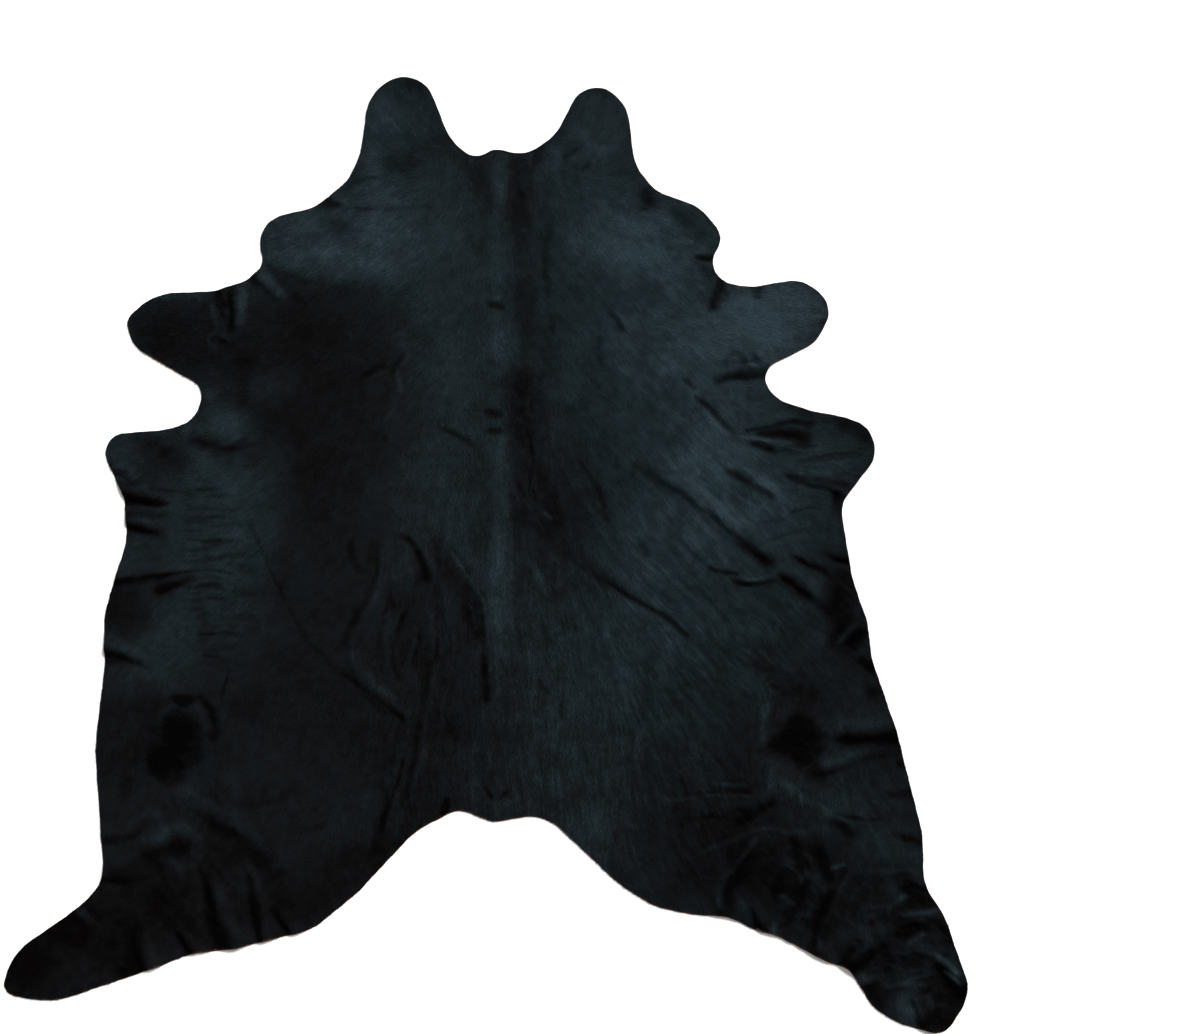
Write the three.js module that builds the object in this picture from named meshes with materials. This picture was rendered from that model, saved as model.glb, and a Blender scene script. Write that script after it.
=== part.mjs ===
// A black cowhide rug, hair side up, lying flat on the floor with its folds and wavy edge.
// Millimetres, +Z up, head end towards +Y. The origin is on the floor, under the middle of the outline's box.

import * as THREE from "three";
import { ConvexHull } from "three/addons/math/ConvexHull.js";

// Driving dimensions
const leather = 2.2; // tanned skin
const coat = 1.8; // short hair lying flat on the skin
const thickness = leather + coat;
const edgeStep = 19; // between points round the outline
const foldStep = 38; // between points along a fold
const fieldStep = 84; // between points where the hide lies flat
const edgeClearance = 12; // from an inner point to the outline
const pointClearance = 11; // from one inner point to the next
const crestSteps = 24; // straight steps that a fold's bowed crest is measured in
const bowlDepth = 1000; // of the bowl that the flat points are raised onto to join them

// The trimmed edge is a belt run round circles. A lobe is a circle inside the belt, a notch is one outside
// it, and the number under either is its radius. The tables go anticlockwise, seen from above.
const headEdge = [
  { at: "poll", x: 26, y: 871, lobe: 41 },
  { at: "left of the poll", x: -21, y: 940, notch: 42 },
  { at: "root of the left ear", x: 8, y: 1000, notch: 106 },
  { at: "left ear", x: -184, y: 1003, lobe: 72 },
  { at: "outer side of the left ear", x: -176, y: 982, lobe: 93 },
  { at: "under the left ear", x: -480, y: 960, notch: 205 },
  { at: "left side of the neck", x: -384, y: 900, notch: 92 },
  { at: "left of the throat", x: -422, y: 858, notch: 83 },
];

const leftForequarter = [
  { at: "cheek", x: -440, y: 700, lobe: 67 },
  { at: "under the cheek", x: -538, y: 665, notch: 36 },
  { at: "shoulder", x: -575, y: 679, notch: 71 },
  { at: "front of the foreleg", x: -627, y: 700, notch: 107 },
  { at: "top of the foreleg", x: -690, y: 450, lobe: 140 },
  { at: "tip of the foreleg", x: -772, y: 518, lobe: 34 },
  { at: "back of the foreleg", x: -731, y: 515, lobe: 72 },
  { at: "armpit", x: -677, y: 357, notch: 38 },
  { at: "behind the armpit", x: -704, y: 351, notch: 62 },
  { at: "top of the elbow", x: -760, y: 502, notch: 223 },
  { at: "elbow", x: -810, y: 229, lobe: 45 },
];

const leftFlank = [
  { at: "behind the elbow", x: -901, y: 105, notch: 90 },
  { at: "waist", x: -887, y: 45, notch: 80 },
  { at: "wave of the flank", x: -656, y: -165, lobe: 202 },
  { at: "middle of the flank", x: -1026, y: -235, notch: 170 },
  { at: "belly", x: -607, y: -440, lobe: 270 },
  { at: "stifle", x: -680, y: -612, lobe: 186 },
  { at: "front of the thigh", x: -950, y: -700, notch: 90 },
];

const leftHindLeg = [
  { at: "front of the leg", x: -1060, y: -618, notch: 226 },
  { at: "shin", x: -948, y: -980, lobe: 135 },
  { at: "toe", x: -1055, y: -965, lobe: 28 },
  { at: "back of the hock", x: -990, y: -805, lobe: 197 },
  { at: "calf", x: -791, y: -755, lobe: 180 },
  { at: "under the thigh", x: -633, y: -1030, notch: 135 },
  { at: "back of the thigh", x: -590, y: -760, lobe: 128 },
  { at: "buttock", x: -460, y: -700, lobe: 156 },
  { at: "left edge of the rump", x: -455, y: -573, lobe: 250 },
];

const rumpArch = [
  { at: "left of the rump", x: -32, y: -788, notch: 206 },
  { at: "left of the tail", x: -58, y: -629, notch: 53 },
  { at: "tail root", x: 22, y: -534, lobe: 66 },
  { at: "right of the tail", x: 98, y: -692, notch: 103 },
  { at: "right edge of the rump", x: 473, y: -519, lobe: 280 },
];

const rightHindLeg = [
  { at: "right buttock", x: 448, y: -622, lobe: 180 },
  { at: "back of the right thigh", x: 490, y: -640, lobe: 171 },
  { at: "crease", x: 520, y: -912, notch: 100 },
  { at: "ham", x: 647, y: -733, lobe: 118 },
  { at: "second crease", x: 612, y: -969, notch: 120 },
  { at: "back of the leg", x: 819, y: -788, lobe: 137 },
  { at: "third crease", x: 784, y: -972, notch: 50 },
  { at: "hock", x: 942, y: -948, lobe: 97 },
  { at: "under the hock", x: 972, y: -966, lobe: 97 },
  { at: "heel", x: 1014, y: -1031, lobe: 44 },
  { at: "right toe", x: 990, y: -975, lobe: 94 },
  { at: "right shin", x: 860, y: -895, lobe: 190 },
  { at: "front of the right leg", x: 1075, y: -712, notch: 90 },
];

const rightFlank = [
  { at: "right stifle", x: 784, y: -655, lobe: 200 },
  { at: "right belly", x: 713, y: -456, lobe: 220 },
  { at: "middle of the right flank", x: 1046, y: -195, notch: 180 },
  { at: "wave of the right flank", x: 683, y: -194, lobe: 180 },
  { at: "behind the right elbow", x: 1116, y: 25, notch: 300 },
  { at: "under the right elbow", x: 866, y: 97, notch: 64 },
];

const rightForequarter = [
  { at: "right elbow", x: 810, y: 236, lobe: 66 },
  { at: "corner of the elbow", x: 823, y: 254, lobe: 47 },
  { at: "top of the right elbow", x: 778, y: 206, lobe: 108 },
  { at: "behind the right armpit", x: 790, y: 529, notch: 212 },
  { at: "below the right armpit", x: 700, y: 412, notch: 73 },
  { at: "right armpit", x: 668, y: 397, notch: 38 },
  { at: "back of the right foreleg", x: 686, y: 537, lobe: 79 },
  { at: "right foreleg", x: 717, y: 546, lobe: 55 },
  { at: "top of the right foreleg", x: 690, y: 537, lobe: 80 },
  { at: "right shoulder", x: 597, y: 741, notch: 137 },
  { at: "under the right cheek", x: 562, y: 659, notch: 50 },
  { at: "right cheek", x: 491, y: 711, lobe: 38 },
  { at: "top of the right cheek", x: 412, y: 684, lobe: 117 },
];

const rightHead = [
  { at: "right of the throat", x: 427, y: 881, notch: 74 },
  { at: "right side of the neck", x: 443, y: 922, notch: 112 },
  { at: "outer side of the right ear", x: 237, y: 966, lobe: 87 },
  { at: "right ear", x: 250, y: 990, lobe: 61 },
  { at: "root of the right ear", x: 67, y: 1025, notch: 118 },
  { at: "right of the poll", x: 76, y: 972, notch: 68 },
];

const wholeEdge = [
  ...headEdge,
  ...leftForequarter,
  ...leftFlank,
  ...leftHindLeg,
  ...rumpArch,
  ...rightHindLeg,
  ...rightFlank,
  ...rightForequarter,
  ...rightHead,
];

// The radius counts as negative on a notch, because the belt turns the other way round it.
const turnRadius = (round) => round.lobe ?? -round.notch;

// The way to the left of the belt's straight run from one circle to the next, as an angle from +X.
function leftOfRun(here, next) {
  const across = next.x - here.x;
  const up = next.y - here.y;
  const change = turnRadius(next) - turnRadius(here);
  return Math.atan2(up, across) + Math.acos(change / Math.hypot(across, up));
}

function beltRound(rounds) {
  const belt = new THREE.Path();
  rounds.forEach((round, i) => {
    const before = rounds.at(i - 1);
    const after = rounds[(i + 1) % rounds.length];
    const isNotch = round.notch !== undefined;
    const side = isNotch ? 0 : Math.PI;
    const arrive = leftOfRun(before, round) + side;
    const leave = leftOfRun(round, after) + side;
    belt.absarc(round.x, round.y, Math.abs(turnRadius(round)), arrive, leave, isNotch);
  });
  return belt.closePath();
}

const belt = beltRound(wholeEdge);
const edge = belt.getSpacedPoints(Math.round(belt.getLength() / edgeStep));
edge.pop(); // the last point is the first one again

// Each fold is a soft ridge along a bowed line that starts where it dies out on the hide. The bow is how far
// its middle lies to the left of the straight line, the height is that of its crest, and the lip is what is
// left of it at its far end, where most of the folds run out over the edge.
const forequarterFolds = [
  { at: "right armpit", from: [505, 394], to: [640, 409], bow: 4, width: 44, height: 9, lip: 8 },
  { at: "right foreleg", from: [548, 432], to: [632, 452], bow: -3, width: 34, height: 6, lip: 4 },
  { at: "right shoulder", from: [457, 371], to: [565, 274], bow: 6, width: 42, height: 6, lip: 0 },
  { at: "upper fan", from: [566, 272], to: [735, 304], bow: 4, width: 34, height: 6, lip: 0 },
  { at: "lower fan", from: [572, 252], to: [705, 229], bow: -3, width: 34, height: 6, lip: 0 },
  { at: "right elbow", from: [655, 180], to: [815, 128], bow: 5, width: 44, height: 8, lip: 8 },
  { at: "behind the elbow", from: [548, 186], to: [664, 115], bow: 4, width: 36, height: 5, lip: 0 },
  { at: "right cheek", from: [468, 664], to: [522, 668], bow: 0, width: 36, height: 8, lip: 8 },
  { at: "under the cheek", from: [514, 552], to: [536, 622], bow: 0, width: 36, height: 7, lip: 7 },
  { at: "right ear", from: [174, 882], to: [215, 928], bow: 3, width: 36, height: 6, lip: 6 },
  { at: "throat", from: [-105, 781], to: [-360, 776], bow: -3, width: 30, height: 4, lip: 4 },
  { at: "left shoulder", from: [-454, 572], to: [-514, 648], bow: 2, width: 40, height: 7, lip: 7 },
  { at: "left foreleg", from: [-552, 490], to: [-560, 618], bow: -4, width: 46, height: 9, lip: 9 },
  { at: "foreleg pleat", from: [-580, 522], to: [-602, 610], bow: 3, width: 36, height: 8, lip: 8 },
  { at: "left elbow", from: [-483, 272], to: [-655, 262], bow: 24, width: 40, height: 6, lip: 4 },
  { at: "upper brisket", from: [-267, 389], to: [-168, 468], bow: 4, width: 36, height: 4, lip: 0 },
  { at: "lower brisket", from: [-231, 281], to: [-191, 405], bow: 8, width: 36, height: 4, lip: 0 },
  { at: "withers", from: [-92, 281], to: [-35, 248], bow: 3, width: 36, height: 5, lip: 0 },
];

const rightFlankFolds = [
  { at: "long fold", from: [338, 200], to: [626, -12], bow: 12, width: 48, height: 9, lip: 5 },
  { at: "its far end", from: [648, -36], to: [752, -112], bow: 4, width: 46, height: 10, lip: 4 },
  { at: "first ripple", from: [496, -28], to: [572, -42], bow: -3, width: 32, height: 5, lip: 0 },
  { at: "second ripple", from: [552, -58], to: [660, -54], bow: -9, width: 34, height: 6, lip: 0 },
  { at: "belly line", from: [150, 14], to: [458, -180], bow: 4, width: 30, height: 5, lip: 0 },
  { at: "first pleat", from: [690, -4], to: [758, -36], bow: 3, width: 34, height: 6, lip: 2 },
  { at: "second pleat", from: [766, -2], to: [828, -12], bow: 0, width: 38, height: 8, lip: 8 },
  { at: "third pleat", from: [792, -206], to: [860, -138], bow: -4, width: 44, height: 10, lip: 10 },
  { at: "thigh pleat", from: [765, -416], to: [945, -408], bow: 3, width: 58, height: 12, lip: 12 },
  { at: "front of the whorl", from: [662, -297], to: [622, -440], bow: -14, width: 40, height: 5, lip: 0 },
  { at: "under the whorl", from: [624, -446], to: [880, -610], bow: -18, width: 44, height: 6, lip: 0 },
  { at: "behind the whorl", from: [723, -493], to: [940, -430], bow: -5, width: 40, height: 7, lip: 6 },
];

const leftFlankFolds = [
  { at: "elbow pleat", from: [-788, 158], to: [-838, 190], bow: 0, width: 36, height: 7, lip: 7 },
  { at: "first pleat", from: [-704, 114], to: [-824, 138], bow: 3, width: 46, height: 12, lip: 11 },
  { at: "second pleat", from: [-740, 55], to: [-818, 68], bow: 2, width: 40, height: 9, lip: 9 },
  { at: "third pleat", from: [-652, -34], to: [-840, -60], bow: 4, width: 46, height: 10, lip: 9 },
  { at: "beside it", from: [-664, -58], to: [-745, -84], bow: -3, width: 34, height: 6, lip: 0 },
  { at: "fourth pleat", from: [-760, -245], to: [-866, -218], bow: -3, width: 46, height: 10, lip: 10 },
  { at: "over the whorl", from: [-722, -308], to: [-609, -416], bow: 18, width: 38, height: 5, lip: 0 },
  { at: "behind the whorl", from: [-755, -405], to: [-705, -518], bow: -14, width: 36, height: 5, lip: 0 },
  { at: "thigh ridge", from: [-690, -536], to: [-483, -644], bow: 8, width: 48, height: 9, lip: 0 },
  { at: "stifle pleat", from: [-766, -632], to: [-874, -640], bow: 2, width: 46, height: 9, lip: 9 },
  { at: "thigh pleat", from: [-792, -735], to: [-872, -728], bow: 0, width: 42, height: 8, lip: 8 },
];

const backFolds = [
  { at: "loin", from: [-98, 56], to: [14, -318], bow: 36, width: 44, height: 8, lip: 0 },
  { at: "left ridge", from: [-231, 45], to: [-301, -190], bow: 16, width: 48, height: 8, lip: 3 },
  { at: "its lower end", from: [-301, -200], to: [-166, -353], bow: -26, width: 46, height: 8, lip: 0 },
  { at: "beside the loin", from: [-202, 54], to: [-137, -43], bow: 20, width: 36, height: 5, lip: 0 },
  { at: "short tuck", from: [-175, -121], to: [-211, -193], bow: 4, width: 32, height: 4, lip: 0 },
  { at: "long rump fold", from: [-107, -162], to: [-194, -640], bow: 5, width: 42, height: 8, lip: 6 },
  { at: "rump pleat", from: [-186, -461], to: [-240, -650], bow: -3, width: 42, height: 9, lip: 5 },
  { at: "rib line", from: [-530, 74], to: [-179, -376], bow: -60, width: 30, height: 4, lip: 0 },
];

const hindLegFolds = [
  { at: "left thigh", from: [-647, -704], to: [-582, -896], bow: 4, width: 56, height: 12, lip: 12 },
  { at: "left ham", from: [-533, -736], to: [-502, -884], bow: 4, width: 46, height: 9, lip: 9 },
  { at: "left buttock", from: [-481, -790], to: [-434, -866], bow: 2, width: 40, height: 7, lip: 7 },
  { at: "left calf", from: [-697, -840], to: [-655, -904], bow: 2, width: 40, height: 9, lip: 9 },
  { at: "left hock", from: [-790, -834], to: [-758, -944], bow: -4, width: 46, height: 11, lip: 11 },
  { at: "left shin", from: [-925, -870], to: [-964, -812], bow: 3, width: 46, height: 8, lip: 8 },
  { at: "right ham", from: [563, -599], to: [678, -547], bow: 5, width: 42, height: 7, lip: 0 },
  { at: "right buttock", from: [626, -617], to: [525, -820], bow: -20, width: 52, height: 10, lip: 9 },
  { at: "beside it", from: [598, -785], to: [624, -858], bow: 2, width: 40, height: 8, lip: 8 },
  { at: "right calf", from: [835, -686], to: [738, -912], bow: -26, width: 56, height: 10, lip: 8 },
  { at: "right stifle", from: [779, -578], to: [860, -600], bow: 4, width: 38, height: 6, lip: 0 },
  { at: "stifle pleat", from: [925, -625], to: [994, -650], bow: 0, width: 38, height: 8, lip: 8 },
  { at: "shin pleat", from: [938, -728], to: [1016, -772], bow: 4, width: 48, height: 11, lip: 11 },
  { at: "second shin pleat", from: [978, -815], to: [1054, -852], bow: 0, width: 42, height: 8, lip: 8 },
  { at: "right hock", from: [890, -880], to: [815, -936], bow: -3, width: 46, height: 12, lip: 12 },
  { at: "right toe", from: [1002, -896], to: [1084, -962], bow: 4, width: 50, height: 10, lip: 9 },
  { at: "right heel", from: [958, -965], to: [986, -1076], bow: -4, width: 46, height: 10, lip: 10 },
];

const folds = [
  ...forequarterFolds,
  ...rightFlankFolds,
  ...leftFlankFolds,
  ...backFolds,
  ...hindLegFolds,
].map(layFold);

function layFold(row) {
  const from = new THREE.Vector2(...row.from);
  const to = new THREE.Vector2(...row.to);
  const left = to.clone().sub(from).normalize().rotateAround(new THREE.Vector2(), Math.PI / 2);
  const bend = from.clone().lerp(to, 0.5).addScaledVector(left, 2 * row.bow);
  const crest = new THREE.QuadraticBezierCurve(from, bend, to);
  return { ...row, crest, crestPoints: crest.getPoints(crestSteps) };
}

// How far along its crest a fold is nearest to a point, from 0 to 1, and how far away the crest is there.
function nearestCrest(fold, point) {
  const nearest = { along: 0, away: Infinity };
  for (let i = 0; i < crestSteps; i++) {
    const start = fold.crestPoints[i];
    const step = fold.crestPoints[i + 1].clone().sub(start);
    const share = THREE.MathUtils.clamp(point.clone().sub(start).dot(step) / step.lengthSq(), 0, 1);
    const away = start.clone().addScaledVector(step, share).distanceTo(point);
    if (away < nearest.away) {
      nearest.along = (i + share) / crestSteps;
      nearest.away = away;
    }
  }
  return nearest;
}

// Height of the underside over the floor: a rounded ridge on each fold, and nothing where the hide lies flat.
function liftAt(point) {
  let lift = 0;
  for (const fold of folds) {
    const { along, away } = nearestCrest(fold, point);
    const reach = fold.width / 2;
    if (away < reach) {
      const end = along < 0.5 ? 0 : fold.lip;
      const crestHeight = end + (fold.height - end) * Math.sin(Math.PI * along);
      lift = Math.max(lift, (crestHeight * (1 + Math.cos((Math.PI * away) / reach))) / 2);
    }
  }
  return lift;
}

function isInside(point) {
  let inside = false;
  edge.forEach((a, i) => {
    const b = edge.at(i - 1);
    const spans = a.y > point.y !== b.y > point.y;
    if (spans && point.x < a.x + ((b.x - a.x) * (point.y - a.y)) / (b.y - a.y)) {
      inside = !inside;
    }
  });
  return inside;
}

// Points over the hide: five rows along each fold, from foot to crest to foot, and a wide field between them.
const rowPlaces = [0, -0.23, 0.23, -0.5, 0.5]; // in fold widths from the crest

function foldPoints(fold) {
  const steps = Math.max(2, Math.round(fold.crest.getLength() / foldStep));
  return rowPlaces.flatMap((place) =>
    Array.from({ length: steps + 1 }, (_, i) => {
      const ahead = fold.crest.getTangentAt(i / steps);
      const left = new THREE.Vector2(-ahead.y, ahead.x);
      return fold.crest.getPointAt(i / steps).addScaledVector(left, place * fold.width);
    }),
  );
}

function fieldPoints() {
  const points = [];
  const { min, max } = new THREE.Box2().setFromPoints(edge);
  const rowStep = fieldStep * Math.sin(Math.PI / 3);
  for (let row = 0; min.y + row * rowStep < max.y; row++) {
    for (let x = min.x + (row % 2) * (fieldStep / 2); x < max.x; x += fieldStep) {
      points.push(new THREE.Vector2(x, min.y + row * rowStep));
    }
  }
  return points;
}

function spreadPoints() {
  const spread = [];
  for (const point of [...folds.flatMap(foldPoints), ...fieldPoints()]) {
    const clear = (gap) => (other) => other.distanceTo(point) > gap;
    if (edge.every(clear(edgeClearance)) && spread.every(clear(pointClearance)) && isInside(point)) {
      spread.push(point);
    }
  }
  return spread;
}

// Triangles that join flat points with no point inside the circle round any triangle. Raised onto a round
// bowl, the points have these triangles as the underside of their hull, which is steep only at its rim.
function joinPoints(points) {
  const raised = points.map(({ x, y }) => new THREE.Vector3(x, y, (x * x + y * y) / bowlDepth));
  const numberOf = new Map(raised.map((point, i) => [point, i]));
  const hull = new ConvexHull().setFromPoints(raised);
  const rimSteepness = -0.01;
  return hull.faces.filter((face) => face.normal.z < rimSteepness).map((face) => {
    const corners = [face.getEdge(0), face.getEdge(1), face.getEdge(2)];
    return corners.map((corner) => numberOf.get(corner.head().point)).reverse();
  });
}

// The sheet has the same points on its hair side and its flesh side, joined by a wall round the edge.
function hideGeometry() {
  const points = [...edge, ...spreadPoints()];
  const count = points.length;
  const middleOf = (corners) => {
    const sum = new THREE.Vector2();
    corners.forEach((corner) => sum.add(points[corner]));
    return sum.divideScalar(corners.length);
  };
  const faces = joinPoints(points).filter((corners) => isInside(middleOf(corners)));
  const lifts = points.map(liftAt);
  const fleshSide = points.flatMap((point, i) => [point.x, point.y, lifts[i]]);
  const hairSide = points.flatMap((point, i) => [point.x, point.y, lifts[i] + thickness]);
  const top = faces.flatMap((corners) => corners.map((corner) => corner + count));
  const bottom = faces.flatMap((corners) => corners.toReversed());
  const wall = edge.flatMap((_, i) => {
    const next = (i + 1) % edge.length;
    return [i, next, next + count, i, next + count, i + count];
  });
  const geometry = new THREE.BufferGeometry();
  geometry.setAttribute("position", new THREE.Float32BufferAttribute([...fleshSide, ...hairSide], 3));
  geometry.setIndex([...top, ...bottom, ...wall]);
  geometry.computeVertexNormals();
  return geometry;
}

const blackHair = new THREE.MeshStandardMaterial({ color: 0x17191b, roughness: 0.7, metalness: 0 });

const hide = new THREE.Mesh(hideGeometry(), blackHair);
hide.name = "hide";

// The tables are measured from about the middle of the hide, and this puts the origin exactly there.
const middle = new THREE.Box2().setFromPoints(edge).getCenter(new THREE.Vector2());
hide.position.set(-middle.x, -middle.y, 0);

const cowhideRug = new THREE.Group();
cowhideRug.add(hide);

export default cowhideRug;
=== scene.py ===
import math
from collections import namedtuple

import bmesh
import bpy
import numpy as np
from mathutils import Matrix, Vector
from mathutils.geometry import delaunay_2d_cdt


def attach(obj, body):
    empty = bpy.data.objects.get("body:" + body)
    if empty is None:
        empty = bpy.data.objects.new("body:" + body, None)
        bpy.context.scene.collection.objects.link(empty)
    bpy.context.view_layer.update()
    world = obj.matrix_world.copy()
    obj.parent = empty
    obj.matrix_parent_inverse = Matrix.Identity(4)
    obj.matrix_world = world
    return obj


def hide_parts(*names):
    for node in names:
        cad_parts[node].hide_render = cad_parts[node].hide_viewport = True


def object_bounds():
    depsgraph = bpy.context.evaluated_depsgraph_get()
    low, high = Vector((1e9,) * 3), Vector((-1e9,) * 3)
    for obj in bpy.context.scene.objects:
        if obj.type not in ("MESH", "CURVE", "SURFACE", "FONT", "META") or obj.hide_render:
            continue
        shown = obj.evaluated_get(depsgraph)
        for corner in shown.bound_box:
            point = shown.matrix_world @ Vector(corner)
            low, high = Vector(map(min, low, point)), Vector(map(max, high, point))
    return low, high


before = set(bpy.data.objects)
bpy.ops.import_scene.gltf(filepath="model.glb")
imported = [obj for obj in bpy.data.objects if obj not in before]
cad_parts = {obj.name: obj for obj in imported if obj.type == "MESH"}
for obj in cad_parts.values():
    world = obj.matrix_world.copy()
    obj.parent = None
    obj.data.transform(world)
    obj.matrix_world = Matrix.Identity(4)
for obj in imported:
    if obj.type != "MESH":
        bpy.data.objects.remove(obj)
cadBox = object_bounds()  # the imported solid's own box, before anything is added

print("frame loaded, hide", [round(side, 3) for side in cadBox[1] - cadBox[0]])


# Studio: camera straight above, soft key light from the head end on the right, pale floor
studio = dict(
    aim=(0.257, 0.0855),  # floor under the middle of the picture
    height=6.0,
    across=2.70,  # floor that the picture's width takes in
    sensor=36.0,
    farClip=100.0,
    keyFrom=(56.0, 44.0),  # degrees round from +X, and up from the floor
    keyPower=6.0,
    keySpread=30.0,
    fillFrom=(205.0, 58.0),
    fillPower=0.40,
    fillSpread=60.0,
    skyLight=0.21,
    floorSize=60.0,
    floorDrop=0.0004,  # keeps the floor clear of the flesh side
    floorColour=(0.92, 0.92, 0.915, 1.0),
    floorRoughness=0.9,
)


def addCamera():
    bpy.ops.object.camera_add(location=(*studio["aim"], studio["height"]), rotation=(0, 0, 0))
    camera = bpy.context.object
    camera.data.sensor_width = studio["sensor"]
    camera.data.lens = studio["sensor"] * studio["height"] / studio["across"]
    camera.data.clip_end = studio["farClip"]
    bpy.context.scene.camera = camera


def addSun(name, fromAngles, power, spread):
    around, up = (math.radians(angle) for angle in fromAngles)
    toSun = Vector((math.cos(up) * math.cos(around), math.cos(up) * math.sin(around), math.sin(up)))
    bpy.ops.object.light_add(type="SUN", location=toSun * studio["height"])
    sun = bpy.context.object
    sun.name = name
    sun.rotation_euler = toSun.to_track_quat("Z", "Y").to_euler()
    sun.data.energy = power
    sun.data.angle = math.radians(spread)


def addSky():
    sky = bpy.data.worlds.new("studioSky")
    sky.use_nodes = True
    background = sky.node_tree.nodes["Background"]
    background.inputs["Strength"].default_value = studio["skyLight"]
    background.inputs["Color"].default_value = (1, 1, 1, 1)
    bpy.context.scene.world = sky


def addFloor():
    bpy.ops.mesh.primitive_plane_add(size=studio["floorSize"], location=(0, 0, -studio["floorDrop"]))
    floor = bpy.context.object
    floor.name = "floor"
    paint = bpy.data.materials.new("paleFloor")
    paint.use_nodes = True
    shader = paint.node_tree.nodes["Principled BSDF"]
    shader.inputs["Base Color"].default_value = studio["floorColour"]
    shader.inputs["Roughness"].default_value = studio["floorRoughness"]
    shader.inputs["Specular IOR Level"].default_value = 0.0
    floor.data.materials.append(paint)


addCamera()
addSun("keySun", studio["keyFrom"], studio["keyPower"], studio["keySpread"])
addSun("fillSun", studio["fillFrom"], studio["fillPower"], studio["fillSpread"])
addSky()
addFloor()
bpy.context.scene.view_settings.view_transform = "Standard"
print("studio set")


# Rows of sizes are in millimetres from the middle of the hide, and tones in hundredths
def inMetres(size):
    return tuple(map(inMetres, size)) if isinstance(size, tuple) else size / 1000


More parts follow.
